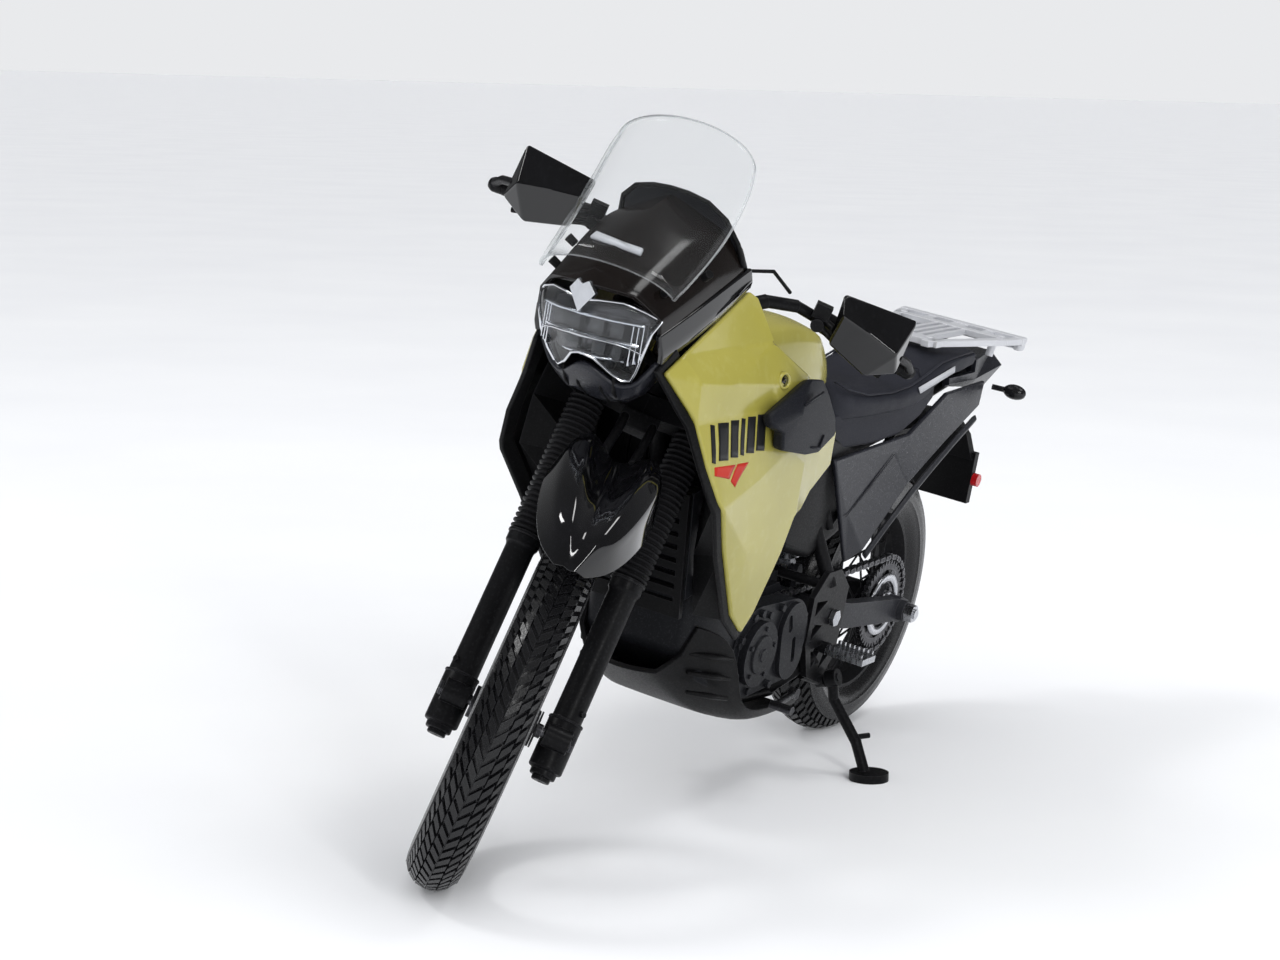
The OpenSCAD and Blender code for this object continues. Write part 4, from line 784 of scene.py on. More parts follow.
for label, s in SIDES:
    shape = Shape().add([SHROUD[k] for k in names], shroud_triangles)
    lip = Shape()
    rings = []
    for key, (dx, dz) in zip(lip_path, LIP_OUT):
        p = Vector(SHROUD[key])
        long = hypot(dx, dz)
        out = Vector((dx / long, 0, dz / long))
        section = ((1.5, -0.7), (1.5, -1.5), (-1.2, -2.1), (-1.2, -1.28), (0.05, -0.5))
        rings.append([p + out * far + Vector((0, y, 0)) for far, y in section])
    lip.rings(rings)
    print_shape = Shape()
    for x0, x1 in ((40.4, 39.2), (37.9, 34.6), (33.6, 31.0), (30.0, 28.8), (27.8, 25.2), (24.4, 21.6)):
        decal(print_shape, [(x0, 76.4), (x1, 76.2), (x1 + 1.0, 70.6), (x0 + 1.0, 70.9)], 0)
    decal(print_shape, [(40.6, 70.1), (33.0, 69.6), (35.8, 67.8), (41.0, 68.9)], 1)
    decal(print_shape, [(32.2, 69.6), (28.2, 69.4), (34.2, 66.4), (35.4, 67.4)], 1)
    shape, lip, print_shape = shape.sided(s), lip.sided(s), print_shape.sided(s)
    panel = fixed(
        "shroud_panel_" + label, shape, ["khaki", "trim"], ["shroud_" + label], inside=(20, s * 4, 66)
    )
    thicken(panel, 1.1, inner=1)
    soften(panel, 0.45, 6, 3)
    edge = fixed("shroud_lip_" + label, lip, ["trim"])
    soften(edge, 0.25, 30, 2)
    fixed("shroud_print_" + label, print_shape, ["print_dark", "print_red"])
    # The hole in the shroud: a khaki rim round a gloss black disc, which is painted shade standing in for
    # the dark inside of the hole.
    ring = Shape().lathe(
        [(0.9, -0.7), (1.5, -0.7), (1.45, 0.0), (1.2, 0.14), (0.98, 0.02), (0.94, -0.3)], 36,
    )
    ring.lathe(
        [(0.05, -0.7), (0.96, -0.7), (0.96, -0.12), (0.5, -0.2), (0.42, -0.02), (0.05, -0.02)], 28, 1,
    )
    turn = Matrix.Rotation(-s * pi / 2, 4, "X") @ Matrix.Diagonal((1.4, 1, 1, 1))
    seat_y = hit_shroud(16.4, 81.2) + 0.3
    spot = Matrix.Translation((16.4, s * seat_y, 81.2)) @ Matrix.Rotation(s * 0.2, 4, "X") @ turn
    piece("shroud_bolt_cup_" + label, ring, BIKE @ spot, "chassis", ["khaki", "gloss"])

# the rim of the cushion, and its highest point last
pad_points = [
    (24.9, 18.8, 77.3), (10, 18, 81.5), (3.9, 17.6, 80.6), (0.4, 17.6, 77.6),
    (-3.9, 17.6, 73.2), (-4.3, 18, 70.3), (4.2, 19.4, 68.5), (9.8, 19.9, 68.8),
    (20.5, 20.3, 70.8), (21.2, 20.2, 73.8), (24.4, 19.9, 75.2), (16.6, 20.6, 77.1),
]
for label, s in SIDES:
    count = len(pad_points) - 1
    shape = Shape().add(pad_points, [[i, (i + 1) % count, count] for i in range(count)]).sided(s)
    pad = fixed("pad_cushion_" + label, shape, ["pad"], ["shroud_pad_" + label], inside=(6, 0, 74))
    thicken(pad, 2.2)
    soften(pad, 0.75, 14, 4)
    marks = Shape()
    for k in range(3):
        x = 12.4 - k * 1.7
        marks.tube(
            [(x + 2.6, 20.15 - k * 0.2, 77.9 + k * 0.2), (x - 1.2, 19.95 - k * 0.2, 78.9 + k * 0.2)], 0.2,
            8,
        )
    marks.tube([(9.4, 19.9, 70.2), (5.6, 19.7, 69.6), (3.6, 19.2, 71.4)], 0.2, 8)
    fixed("pad_ridges_" + label, marks.sided(s), ["pad"])

# ---- tank ----


def tank_ring(x, low, high, bottom, top):
    m = bottom + (top - bottom) * 0.55
    half = [
        (x, 0, top + 0.25), (x, high * 0.35, top), (x, high * 0.8, top - 1.2), (x, high, m),
        (x, low, bottom),
    ]
    return half + [(p[0], -p[1], p[2]) for p in half[:0:-1]]


TANK_ROWS = (
    (22.6, 4.6, 6.2, 77, 83.4), (21, 5, 6.8, 76, 84.4), (17, 8, 9.4, 70, 87), (6, 10, 11, 66, 88.4),
    (-8, 9.4, 10.8, 66, 87.4), (-17, 7, 9, 68, 84.4), (-20.6, 6, 7.2, 70.6, 80),
)
tank = Shape().rings([tank_ring(*row) for row in TANK_ROWS])
shell = fixed("tank_shell", tank, ["khaki"], ["fuel_tank"])
subdivide(crease(shell, 0.45, 42), 2)

# ---- nose ----

cowl_half = [
    [(49.0, 9.8, 86.4), (51.2, 11.2, 89.6), (52.2, 10.9, 92.6), (55.2, 7.4, 95.7), (58.0, 0, 96.3)],
    [(42.0, 10.3, 88.4), (43.6, 11.7, 92.0), (44.4, 11.5, 95.6), (46.8, 8.6, 100.1), (50.4, 0, 102.1)],
    [(34.0, 10.3, 91.8), (35.0, 12.0, 95.4), (35.6, 11.8, 99.0), (39.0, 9.2, 104.1), (42.0, 0, 106.9)],
    [(27.0, 9.9, 94.8), (27.6, 11.6, 97.4), (28.2, 11.2, 99.8), (32.4, 9.3, 104.9), (35.2, 0, 109.2)],
]
cowl = fixed("nose_shell", grid(full(cowl_half)), ["dash", "trim"], ["nose_cowl"], inside=(36, 0, 88))
subdivide(crease(cowl, 0.6, 22), 2)
thicken(cowl, 0.9, inner=1)
soften(cowl, 0.2, 40, 2)

cheek_low = [(50.3, 11.5, 85.3), (42.0, 12.0, 88.7), (34.0, 12.1, 92.2), (25.2, 11.6, 96.0)]
cheek_mid = [(50.9, 11.7, 87.0), (42.6, 12.5, 90.2), (34.6, 12.7, 93.8), (25.8, 12.1, 97.2)]
cheek_high = [(51.8, 11.2, 90.0), (43.6, 12.0, 93.4), (35.2, 12.3, 96.8), (26.6, 11.9, 99.4)]
for label, s in SIDES:
    shape = grid([cheek_low, cheek_mid, cheek_high]).sided(s)
    cheek = fixed("nose_cheek_" + label, shape, ["gloss"], inside=(38, 0, 92))
    subdivide(crease(cheek, 0.8, 12), 2)
    thicken(cheek, 1.0)
    soften(cheek, 0.3, 40, 3)

hood_half = [(11.3, 99.6), (10.9, 103.2), (9.4, 106.8), (6.6, 109.0), (3.2, 109.8), (0.0, 110.0)]
hood_edge = across([(28.6 + 0.7 * (z - 99.6), y, z) for y, z in hood_half])
hood = fixed("dash_hood", Shape().prism(hood_edge, (-3.0, 0, -1.4)), ["pad"])
soften(hood, 0.7, 30, 4)
soften(fixed("dash_hood_rim", Shape().tube(hood_edge, 0.42, 12), ["trim"]), 0.05, 60, 1)

lens_half = [
    [(51.4, 10.9, 92.2), (54.0, 8.9, 93.4), (55.8, 6.2, 94.2), (57.4, 2.8, 94.0), (57.9, 0, 93.4)],
    [(52.6, 10.2, 90.2), (54.8, 8.2, 91.0), (56.4, 5.6, 91.4), (57.7, 2.6, 91.2), (58.2, 0, 91.0)],
    [(52.4, 9.2, 86.6), (54.2, 7.4, 87.4), (55.6, 5.2, 87.8), (57.0, 2.6, 88.0), (57.6, 0, 88.2)],
    [(51.4, 8.0, 83.6), (52.8, 6.4, 84.0), (54.0, 4.6, 84.6), (55.8, 2.4, 85.8), (56.6, 0, 86.2)],
    [(50.6, 6.9, 81.8), (51.5, 5.6, 81.6), (52.6, 4.0, 82.6), (54.6, 2.0, 84.6), (55.6, 0, 85.2)],
]
lens = fixed("headlight_glass", grid(full(lens_half)), ["lens"], ["headlight_lens"], inside=(40, 0, 88))
subdivide(crease(lens, 0.75, 8), 2)
thicken(lens, 0.55)

inner = [
    [(p[0] - 2.6 - 1.4 * (abs(p[1]) < 8), p[1] * 0.9, p[2] * 0.94 + 5.3) for p in row]
    for row in full(lens_half)
]
bowl = fixed("headlight_bowl", grid(inner), ["bowl"], ["headlight_reflector"], inside=(40, 0, 88))
subdivide(crease(bowl, 0.5, 10), 1)
thicken(bowl, 0.6)

lamp = Shape()
for z, x_mid, x_side, reach, r in (
    (88.0, 56.6, 52.6, 8.2, 0.42), (91.2, 56.8, 52.8, 8.8, 0.3), (84.9, 54.9, 51.6, 5.6, 0.3),
):
    x_between = (x_mid + x_side) / 2 + 0.8
    lamp.tube(
        across([(x_side, reach, z - 0.2), (x_between, reach * 0.55, z), (x_mid, 0, z + 0.1)]), r, 10,
    )
for s in (-1, 1):
    for y, z0, z1, x in (
        (2.1, 88.4, 91.0, 55.4), (5.0, 88.2, 90.8, 54.2), (2.4, 85.3, 87.6, 54.4),
        (4.6, 84.8, 87.3, 53.2),
    ):
        lamp.block((x - 1.4, s * y - 1.15, z0), (x, s * y + 1.15, z1), 1)
        lamp.tube([(x - 0.2, s * y, (z0 + z1) / 2), (x + 0.5, s * y, (z0 + z1) / 2)], [0.8, 0.45], 14, 2)
    for k in range(3):
        y = s * (7.4 + k * 0.7)
        lamp.block((52.2 - k * 0.22, y - 0.1, 84.6 + k * 0.35), (53.6 - k * 0.4, y + 0.1, 91.2), 0)
rows = full(lens_half)
for row, r in ((rows[0], 0.24), (rows[4], 0.34), (rows[2], 0.2)):
    lamp.tube([(p[0] - 0.1, p[1], p[2]) for p in row], r * 0.8, 8, 0)
for s in (-1, 1):
    lamp.tube(
        [(rows[i][4 - 4 * s][0] + 0.1, rows[i][4 - 4 * s][1], rows[i][4 - 4 * s][2]) for i in range(5)],
        0.24, 8, 0,
    )
# The chrome peak over the lens top is a painted highlight: a bright piece that stands in for the light
# caught along the top of the lens.
lamp.prism(
    [
        (58.3, 0, 91.6), (57.9, 2.3, 94.9), (58.1, 1.0, 96.6), (58.2, 0, 96.0), (58.1, -1.0, 96.6),
        (57.9, -2.3, 94.9),
    ],
    (-0.9, 0, 0), 0,
)
lamps = fixed("headlight_lamps", lamp, ["chrome", "gloss", "lens"])
soften(lamps, 0.1, 35, 2)

housing_half = [
    [(50.2, 10.9, 85.4), (50.6, 8.2, 81.6), (51.0, 5.4, 80.0), (53.2, 2.4, 82.3), (54.4, 0, 83.6)],
    [(48.6, 10.2, 83.6), (48.8, 7.6, 79.6), (49.2, 4.8, 78.0), (50.6, 2.2, 78.8), (51.4, 0, 79.6)],
    [(46.0, 9.6, 83.4), (45.8, 7.2, 79.4), (46.2, 4.6, 77.4), (47.0, 2.2, 76.9), (47.4, 0, 76.8)],
    [(42.0, 9.2, 84.8), (41.2, 7.0, 81.6), (41.0, 4.6, 80.4), (41.0, 2.2, 80.0), (41.0, 0, 79.9)],
]
chin = fixed(
    "headlight_chin", grid(full(housing_half)), ["charcoal", "trim"], ["headlight_housing"],
    inside=(46, 0, 90),
)
subdivide(crease(chin, 0.7, 22), 2)
thicken(chin, 0.8, inner=1)
grooves = Shape()
for y in (-4.6, -2.2, 2.2, 4.6):
    grooves.tube([(51.9, y, 81.9), (50.8, y * 0.95, 79.4), (47.3, y * 0.9, 77.2)], 0.28, 8)
fixed("chin_ribs", grooves, ["trim"])


def screen_row(c, e, steps=8):
    row = []
    for i in range(steps, -1, -1):
        a = pi / 2 * i / steps
        row.append((e[0] + (c[0] - e[0]) * cos(a), e[1] * sin(a), e[2] + (c[2] - e[2]) * cos(a)))
    return row


screen_half = [
    screen_row((55.2, 0, 99.6), (51, 12.2, 95.6)), screen_row((48.6, 0, 106.6), (42.6, 13.2, 101.6)),
    screen_row((41.8, 0, 113.2), (37.4, 13.4, 107.4)), screen_row((37, 0, 118.2), (34.4, 13.4, 112.4)),
    screen_row((34, 0, 121), (33, 12.6, 115.4)),
]
screen = fixed(
    "windscreen_pane", grid(full(screen_half)), ["screen", "screen_edge"], ["windscreen"],
    inside=(20, 0, 96),
)
subdivide(crease(screen, 0.5, 60), 2)
thicken(screen, 0.5, rim=1)
bolts = Shape()
for s in (-1, 1):
    for p in ((50.0, 10.6, 97.0), (42.2, 12.9, 99.6)):
        bolts.tube(
            [(p[0] - 0.2, s * p[1] - s * 1.2, p[2] - 1.0), (p[0] + 0.5, s * p[1], p[2])], [0.7, 0.75], 14,
        )
soften(fixed("windscreen_bolts", bolts, ["trim"]), 0.12)
label_top = [
    (46.0, -5.9, 101.8), (48.1, -2.8, 101.95), (49.5, -0.3, 102.0), (49.4, 1.3, 101.8),
    (48.3, 3.9, 101.4),
]
label_low = [
    (47.3, -6.1, 101.0), (49.3, -3.0, 101.2), (50.5, -0.4, 101.25), (50.3, 1.5, 101.05),
    (49.2, 4.1, 100.6),
]
label_bar = Shape().prism(label_top + label_low[::-1], (0.34, 0, 0.42))
fixed("dash_bar_mark", label_bar, ["print_pale"])

# ---- seat: a finer moulded form than the CAD solid, with welts and a cross seam ----


def seat_ring(x, half, bottom, top, sag):
    tall = top - bottom
    half_ring = [
        (x, 0, top - sag), (x, half * 0.4, top), (x, half * 0.8, top - 0.7),
        (x, half + 0.2, bottom + tall * 0.62), (x, half + 0.3, bottom + tall * 0.3),
        (x, half, bottom), (x, half * 0.5, bottom),
    ]
    return across(half_ring + [(x, 0, bottom)])[:-1]


SEAT_ROWS = (
    (-21, 6.6, 68.3, 77.2, -0.2), (-24, 8.8, 68.3, 75.8, 0), (-30, 9.6, 68.3, 74.2, 0.2),
    (-38, 10.0, 68.3, 73.3, 0.35), (-47, 10.2, 68.3, 73.0, 0.35), (-54, 10.2, 68.5, 74.1, 0.2),
    (-59, 10.2, 69.6, 75.6, 0), (-66, 9.6, 72.7, 76.9, 0), (-78, 8.8, 72.8, 77.1, 0),
    (-86, 7.6, 73.2, 76.4, 0),
)
seat = Shape().rings([seat_ring(*row) for row in SEAT_ROWS])
cushion = fixed("seat_cushion", seat, ["vinyl"], ["seat"])
subdivide(crease(cushion, 0.55, 60), 3)
folds_texture = bpy.data.textures.new("seat_waves", "CLOUDS")
folds_texture.noise_scale = 0.006
waves = cushion.modifiers.new("waves", "DISPLACE")
waves.texture = folds_texture
waves.texture_coords = "GLOBAL"
waves.strength = 0.00035
waves.mid_level = 0.5
base = []
for x, h, t, b in (
    (-23, 8.6, 69.4, 63.0), (-38, 9.7, 69.4, 62.9), (-50, 9.9, 69.4, 63.5), (-58, 9.9, 70.4, 66.2),
    (-64, 9.3, 72.6, 69.0),
):
    low = [(h + 0.3, b), (h - 0.6, b - 0.3), (-h + 0.6, b - 0.3), (-h - 0.3, b)]
    base.append([(x, y, z) for y, z in [(-h, t), (h, t)] + low])
soften(fixed("seat_skirt", Shape().rings(base), ["vinyl"]), 0.5, 25, 3)
welt = Shape()
for s in (-1, 1):
    welt.tube(
        [
            (-22, s * 7.9, 75.4), (-26, s * 8.9, 73.9), (-34, s * 9.5, 72.3), (-44, s * 9.7, 71.9),
            (-52, s * 9.75, 72.5), (-58, s * 9.7, 73.9), (-66, s * 9.2, 75.6), (-78, s * 8.4, 76.0),
            (-85, s * 7.3, 75.6),
        ],
        0.22, 10,
    )
    welt.tube(
        [(-56.5, s * 10.1, 72.0), (-57.2, s * 8.4, 74.8), (-57.6, s * 4.2, 75.4), (-57.8, 0, 75.4)], 0.2,
        10,
    )
fixed("seat_welts", welt, ["vinyl"])
badge = Shape()
for s in (-1, 1):
    badge.prism(
        [
            (-53.6, s * 10.5, 72.1), (-70.6, s * 9.9, 74.6), (-70.8, s * 10.0, 73.4),
            (-54.6, s * 10.6, 70.9),
        ],
        (0, s * 0.14, 0.02),
    )
fixed("seat_side_marks", badge, ["print_pale"])

# ---- side covers ----

COVER = {
    "a": (-23, 10.4, 61.6), "b": (-33, 11.6, 41.5), "c": (-36.6, 13.2, 43.6), "d": (-50.4, 13.6, 54.6),
    "e": (-68, 12.0, 60.2), "f": (-88, 9.7, 65), "g": (-90, 9.1, 69.8), "h": (-70, 9.9, 69.4),
    "i": (-53, 10.9, 63.4), "p": (-30.6, 11.5, 50.8), "q": (-46.2, 11.5, 60.6),
}
COVER_FACES = ["a b p", "a p q i", "p b c", "p c d q", "q d e", "q e h i", "e f g h"]
strips = Shape().rings(
    [
        [
            Vector(p) + Vector(o)
            for o in ((0.3, 0.2, 0.9), (0.3, 0.75, 0), (-0.2, 0.2, -0.9), (0, -0.7, 0))
        ]
        for p in (
            (-37.6, 13.2, 42.6), (-44, 13.6, 47.6), (-52, 13.8, 52.9), (-62, 13.0, 56.6),
            (-74, 11.6, 60.0), (-86, 10.0, 62.8),
        )
    ]
)
for label, s in SIDES:
    keys = list(COVER)
    shape = Shape().add(
        [COVER[k] for k in keys], [[keys.index(k) for k in f.split()] for f in COVER_FACES],
    )
    line = Shape().tube(
        [(-45.9, 11.72, 60.5), (-38.2, 11.75, 55.7), (-29.6, 11.62, 50.6)], [0.08, 0.2, 0.08], 8,
    )
    shape, strip, line = shape.sided(s), strips.sided(s), line.sided(s)
    cover = fixed(
        "side_panel_" + label, shape, ["charcoal"], ["side_cover_" + label], inside=(-50, 0, 60),
    )
    thicken(cover, 1.0)
    soften(cover, 0.4, 8, 3)
    soften(fixed("side_panel_strip_" + label, strip, ["arm"]), 0.3, 25, 3)
    fixed("side_panel_line_" + label, line, ["arm"])

# ---- skid plate ----

skid_half = [
    [(20, 11, 38), (22.5, 10, 33), (24.5, 7, 29.5), (25.8, 0, 28.6)],
    [(9.4, 14.2, 35), (11, 13.8, 28), (13.5, 8, 21.5), (15, 0, 22.6)],
    [(5.4, 14, 20.8), (4.5, 12.7, 18.9), (3, 9, 17.8), (2, 0, 17.2)],
    [(-8, 13, 18.4), (-8, 12, 16.5), (-8, 9, 14.6), (-8, 0, 14.4)],
    [(-26, 11, 17), (-26, 10.4, 15.4), (-26, 8, 13.8), (-26, 0, 13.7)],
]
skid = fixed("skid_shell", grid(full(skid_half)), ["trim"], ["skid_plate"], inside=(-4, 0, 44))
subdivide(crease(skid, 0.6, 30), 2)
thicken(skid, 0.9)
soften(skid, 0.25, 40, 2)
skid_ribs = Shape()
for s in (-1, 1):
    for z, grow in ((33.4, 0), (29.8, 0.4), (26.2, 0.8)):
        skid_ribs.tube(
            [
                (20.6 - grow * 2.4, s * 10.3, z), (16.0 - grow * 2, s * 12.6, z - 0.8),
                (11.4 - grow, s * 14.1, z - 1.6),
            ],
            [0.35, 0.55, 0.35], 10,
        )
fixed("skid_ribs", skid_ribs, ["trim"])

# ---- drive chain ----

CHAIN_Y, CHAIN_PITCH, PLATE_RADIUS = 6.9, 1.32, 0.48
front_c, rear_c = Vector((-16.5, 0, 32)), REAR_AXLE
r_front, r_rear = 4.15, 9.4
line = rear_c - front_c
reach = line.length
open_angle = asin((r_rear - r_front) / reach)
path = []


def chain_arc(centre, radius, a0, a1, steps):
    for k in range(steps + 1):
        a = a0 + (a1 - a0) * k / steps
        path.append(Vector((centre.x + radius * cos(a), CHAIN_Y, centre.z + radius * sin(a))))


back_way = atan2(line.z, line.x)
chain_arc(
    front_c, r_front, back_way + pi + (pi / 2 - open_angle), back_way + pi - (pi / 2 - open_angle), 24,
)
chain_arc(rear_c, r_rear, back_way + pi / 2 + open_angle, back_way - pi / 2 - open_angle, 40)
loop_points = path + [path[0]]
lengths = [0.0]
for a, b in zip(loop_points, loop_points[1:]):
    lengths.append(lengths[-1] + (b - a).length)
links = 2 * round(lengths[-1] / CHAIN_PITCH / 2)


def on_loop(d):
    d %= lengths[-1]
    for k in range(len(lengths) - 1):
        if lengths[k + 1] >= d:
            t = (d - lengths[k]) / max(lengths[k + 1] - lengths[k], 1e-9)
            return loop_points[k].lerp(loop_points[k + 1], t)
    return loop_points[0].copy()


chain = Shape()
for k in range(links):
    a = on_loop(lengths[-1] * k / links)
    b = on_loop(lengths[-1] * (k + 1) / links)
    along = (b - a).normalized()
    across_link = Vector((-along.z, 0, along.x))
    wide = 0.42 if k % 2 else 0.64
    for s in (-1, 1):
        outline = []
        for end, sign in ((a, -1), (b, 1)):
            for t in range(5):
                angle = -pi / 2 + pi * t / 4
                way = along * sign * cos(angle) + across_link * sign * sin(angle)
                outline.append(end + way * PLATE_RADIUS)
        chain.prism([p + Vector((0, s * wide - 0.09, 0)) for p in outline], (0, 0.18, 0))
    chain.tube([a + Vector((0, -0.8, 0)), a + Vector((0, 0.8, 0))], 0.24, 8)
piece("chain_links", chain, BIKE, "swingarm", ["dark_steel"], ["drive_chain"], flat=True)

# ---- small parts that the CAD solids only outline ----

hardware = Shape()
for x, y, z, r in (
    (6.2, 12.9, 33.8, 0.75), (6.2, 12.9, 27.2, 0.75), (0.0, 12.9, 37.6, 0.75), (-7.6, 12.9, 37.4, 0.75),
    (-7.4, 12.9, 23.4, 0.75), (-18.9, 12.2, 34.0, 0.7), (-18.6, 12.2, 27.0, 0.7),
):
    hardware.tube([(x, y - 0.8, z), (x, y + 0.35, z)], r, 6)
hardware.tube([(0, 13.6, 30.5), (0, 14.3, 30.5)], [3.6, 3.4], 40)
hardware.tube([(0, 14.2, 30.5), (0, 14.6, 30.5)], [1.4, 1.2], 6)
for a in range(5):
    t = 2 * pi * a / 5 + 0.4
    hardware.tube(
        [(4.6 * cos(t), 13.6, 30.5 + 4.6 * sin(t)), (4.6 * cos(t), 14.3, 30.5 + 4.6 * sin(t))], 0.45, 10,
    )
soften(fixed("engine_cover_details", hardware, ["engine"]), 0.12, 35, 2)


def box_run(sections):
    """Box lofted along x from (x, half width, low z, high z) sections."""
    return Shape().rings(
        [[(x, -h, z1), (x, h, z1), (x, h, z0), (x, -h, z0)] for x, h, z0, z1 in sections]
    )


airbox = box_run(
    (
        (-6, 7.2, 54, 65), (-12, 9.2, 46, 66), (-22, 9.4, 43, 66), (-34, 9.0, 46, 62.6),
        (-44, 7.6, 57, 62.4),
    )
)
soften(fixed("airbox_shell", airbox, ["trim"]), 1.2, 25, 4)

throat = box_run(((2, 11.6, 22, 44), (10, 12.2, 24, 46), (17, 11.4, 28, 47), (21.5, 9.6, 33, 47)))
soften(fixed("engine_front_cover", throat, ["engine"]), 1.6, 25, 4)

inner_panel = Shape()
for x, w, low, high in ((18.4, 15.4, 55, 74), (16.0, 13.2, 52.5, 77)):
    inner_panel.prism(
        [
            (x, -w, low + 3), (x, -w, high - 4), (x, -w + 5, high), (x, w - 5, high), (x, w, high - 4),
            (x, w, low + 3), (x, w - 4, low), (x, -w + 4, low),
        ],
        (-1.6, 0, 0),
    )
for y in (-9, -5.4, -1.8, 1.8, 5.4, 9):
    inner_panel.block((18.2, y - 0.5, 57), (19.0, y + 0.5, 71))
soften(fixed("radiator_backing", inner_panel, ["trim"]), 0.25, 30, 2)

hoses = Shape()
hoses.tube([(24, 11.6, 57), (20, 12.4, 55), (15, 11.2, 52.5), (9, 7.4, 52)], 1.15, 16)
hoses.tube([(24, 11.0, 46), (19, 12.6, 43), (13, 12.2, 39.4), (7, 10.0, 37.5)], 1.1, 16)
hoses.tube([(24, 10.8, 46.6), (20.8, 12.2, 44.0)], 1.35, 16)
fixed("coolant_hoses", hoses, ["soft"])

cables = Shape()
cables.tube([(16, 14, 97.6), (20, 10, 100.5), (23, 5, 99), (25, 2.6, 92), (24.6, 1.4, 86)], 0.32, 8)
cables.tube([(16, -14, 97.6), (20, -10, 100.5), (23, -6, 99), (25.4, -3.2, 92), (24.8, -2, 86)], 0.32, 8)
piece("control_cables", cables, STEERED, "fork", ["soft"])

rack = Shape()
rack_half = ((-65, 6), (-70, 7.4), (-80.6, 10.2), (-91.4, 13), (-96.3, 13.6))
for s in (-1, 1):
    rail = [(x, s * (y - 1.6), 77.7) for x, y in rack_half]
    rack.prism(rail + [(x, s * y, 77.7) for x, y in rack_half[::-1]], (0, 0, 1.3))
for y in (-3, -1, 1, 3):
    rack.block((-90.4, y - 0.42, 77.75), (-69, y + 0.42, 78.9))
rack.block((-70.4, -7.2, 77.7), (-66.4, 7.2, 79))
rack.block((-90.9, -12.4, 77.7), (-88.6, 12.4, 79))
rack.block((-96.3, -13.5, 77.6), (-94.2, 13.5, 79.1))
for y0, y1 in ((-7.2, -5.4), (5.4, 7.2), (-1.6, 1.6)):
    rack.block((-95, y0, 77.75), (-90, y1, 78.9))
rack.tube([(-96.1, -13.2, 77.2), (-96.1, 13.2, 77.2)], 0.85, 14)
for s in (-1, 1):
    rack.tube([(-92.5, s * 8.2, 77.8), (-91.8, s * 8, 74.4)], 0.8)
    rack.tube([(-95.2, s * 12.4, 78.2), (-95.2, s * 12.4, 76.4)], 0.9)
    for x, y in ((-68.4, 4.6), (-89.7, 10.6)):
        rack.tube([(x, s * y, 79), (x, s * y, 79.3)], [0.85, 0.7], 16)
soften(fixed("rack_plate", rack, ["rack"], ["rear_rack"]), 0.22, 30, 3)

# ---- stage, lights and camera ----

floor = bpy.data.meshes.new("floor")
FLOOR_HALF = 90
corners = [(x * FLOOR_HALF, y * FLOOR_HALF, 0) for x, y in ((-1, -1), (1, -1), (1, 1), (-1, 1))]
floor.from_pydata(corners, [], [(0, 1, 2, 3)])
paper = Nodes("pale_sweep")
place = paper.add("TexCoord").outputs["Object"]
mottle = paper.noise(place, 9.0)
fibre = paper.noise(place, 900.0)
sheet_tone = paper.mix(paper.spread(mottle, 0, 1), (0.82, 0.825, 0.84), (0.85, 0.855, 0.865))
sheet_bump = paper.add("Bump", {"Strength": 0.15, "Distance": 0.0001, "Height": fibre}).outputs[0]
sheet = paper.add(
    "BsdfDiffuse",
    {"Color": sheet_tone, "Roughness": paper.spread(fibre, 0.8, 1.0), "Normal": sheet_bump},
).outputs[0]
paper.add("OutputMaterial", {"Surface": sheet})
floor.materials.append(paper.material)
put("floor", floor)

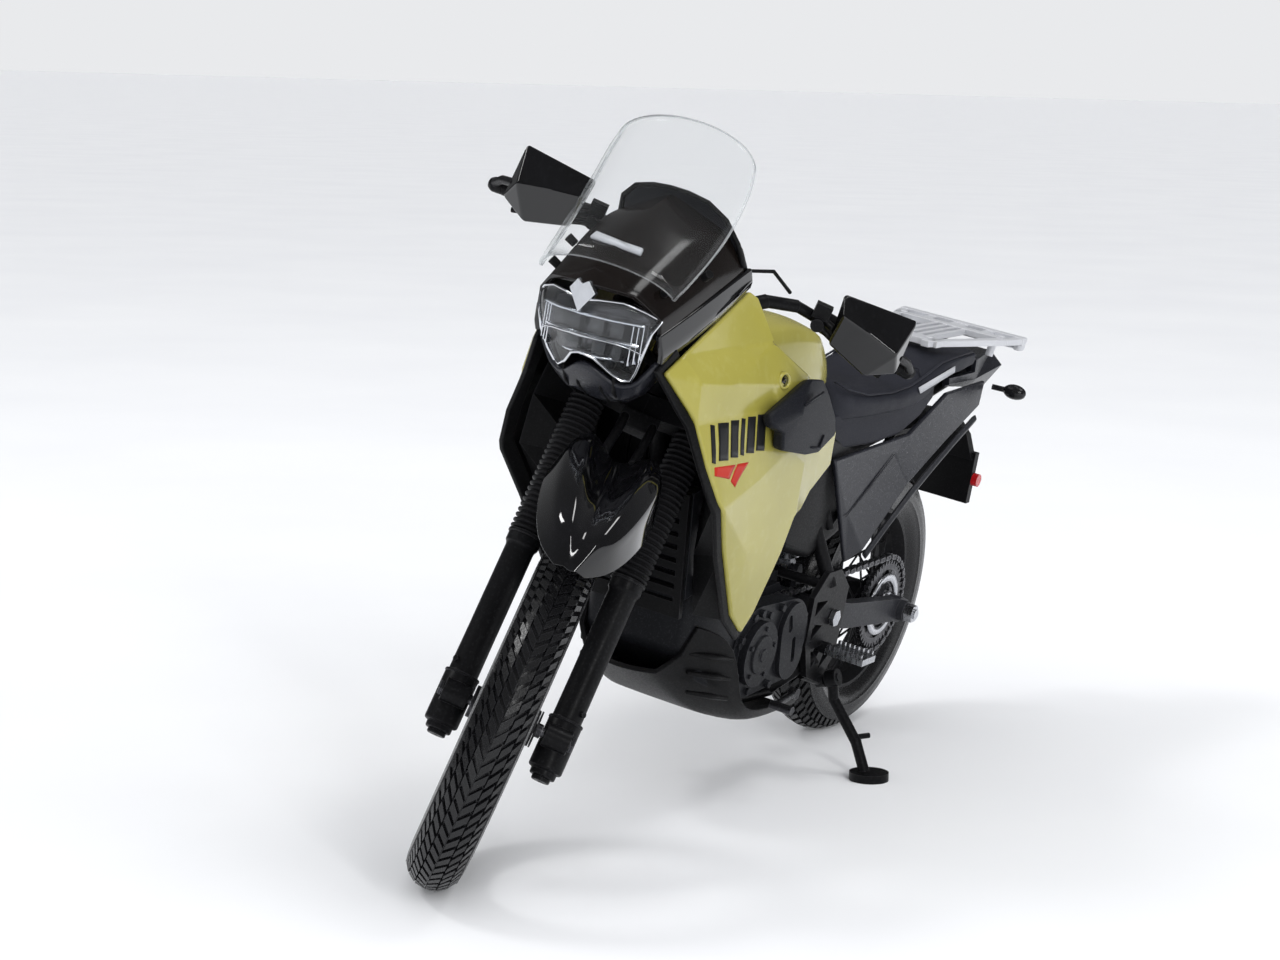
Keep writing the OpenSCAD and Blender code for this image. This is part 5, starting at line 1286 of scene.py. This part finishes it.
# the sky's strength as light, as the backdrop the camera sees, and as what glossy surfaces mirror
AMBIENT, BACKDROP, MIRRORED = 0.96, 0.84, 0.12
world = bpy.data.worlds.new("studio")
bpy.context.scene.world = world
world.use_nodes = True
nodes, join = world.node_tree.nodes, world.node_tree.links.new
backdrop = nodes["Background"]
backdrop.inputs[0].default_value = (0.97, 0.98, 1.0, 1)
ray = nodes.new("ShaderNodeLightPath")
seen = nodes.new("ShaderNodeMapRange")
seen.inputs[3].default_value = AMBIENT
seen.inputs[4].default_value = BACKDROP
join(ray.outputs["Is Camera Ray"], seen.inputs[0])
dimmer = nodes.new("ShaderNodeMapRange")
dimmer.inputs[4].default_value = MIRRORED
join(seen.outputs[0], dimmer.inputs[3])
join(ray.outputs["Is Glossy Ray"], dimmer.inputs[0])
join(dimmer.outputs[0], backdrop.inputs[1])


def softbox(name, place_mm, target_mm, wide, high, power):
    data = bpy.data.lights.new(name, "AREA")
    data.shape = "RECTANGLE"
    data.size, data.size_y = wide, high
    data.energy = power
    lamp_object = put(name, data)
    lamp_object.location = BIKE @ Vector(place_mm)
    way = BIKE @ Vector(target_mm) - lamp_object.location
    lamp_object.rotation_mode = "QUATERNION"
    lamp_object.rotation_quaternion = way.to_track_quat("-Z", "Y")


softbox("key", (260, -520, 620), (0, 0, 50), 0.20, 0.14, 1.3)
softbox("strip", (420, 420, 360), (30, 0, 60), 0.035, 0.34, 0.6)
softbox("top", (-120, 160, 700), (0, 0, 60), 0.22, 0.16, 0.8)

# the camera fitted to the photo: its place in the bike frame, and where it looks back from
EYE = Vector((415.3, 203.875, 165.057))
az, el, roll = radians(27.81), radians(13.33), radians(10.2)
camera_data = bpy.data.cameras.new("photo_camera")
camera_data.sensor_width = 36
camera_data.lens = 77.88
camera_data.clip_start = 0.01
camera = put("photo_camera", camera_data)
back = Vector((cos(el) * cos(az), cos(el) * sin(az), sin(el)))
level = Vector((-sin(az), cos(az), 0))
high_way = Vector((-sin(el) * cos(az), -sin(el) * sin(az), cos(el)))
right = level * cos(roll) + high_way * sin(roll)
top_way = back.cross(right)
looks = TURN @ Matrix((right, top_way, back)).transposed()
camera.matrix_world = Matrix.Translation(BIKE @ EYE) @ looks.to_4x4()
bpy.context.scene.camera = camera
bpy.context.scene.view_settings.view_transform = "Standard"
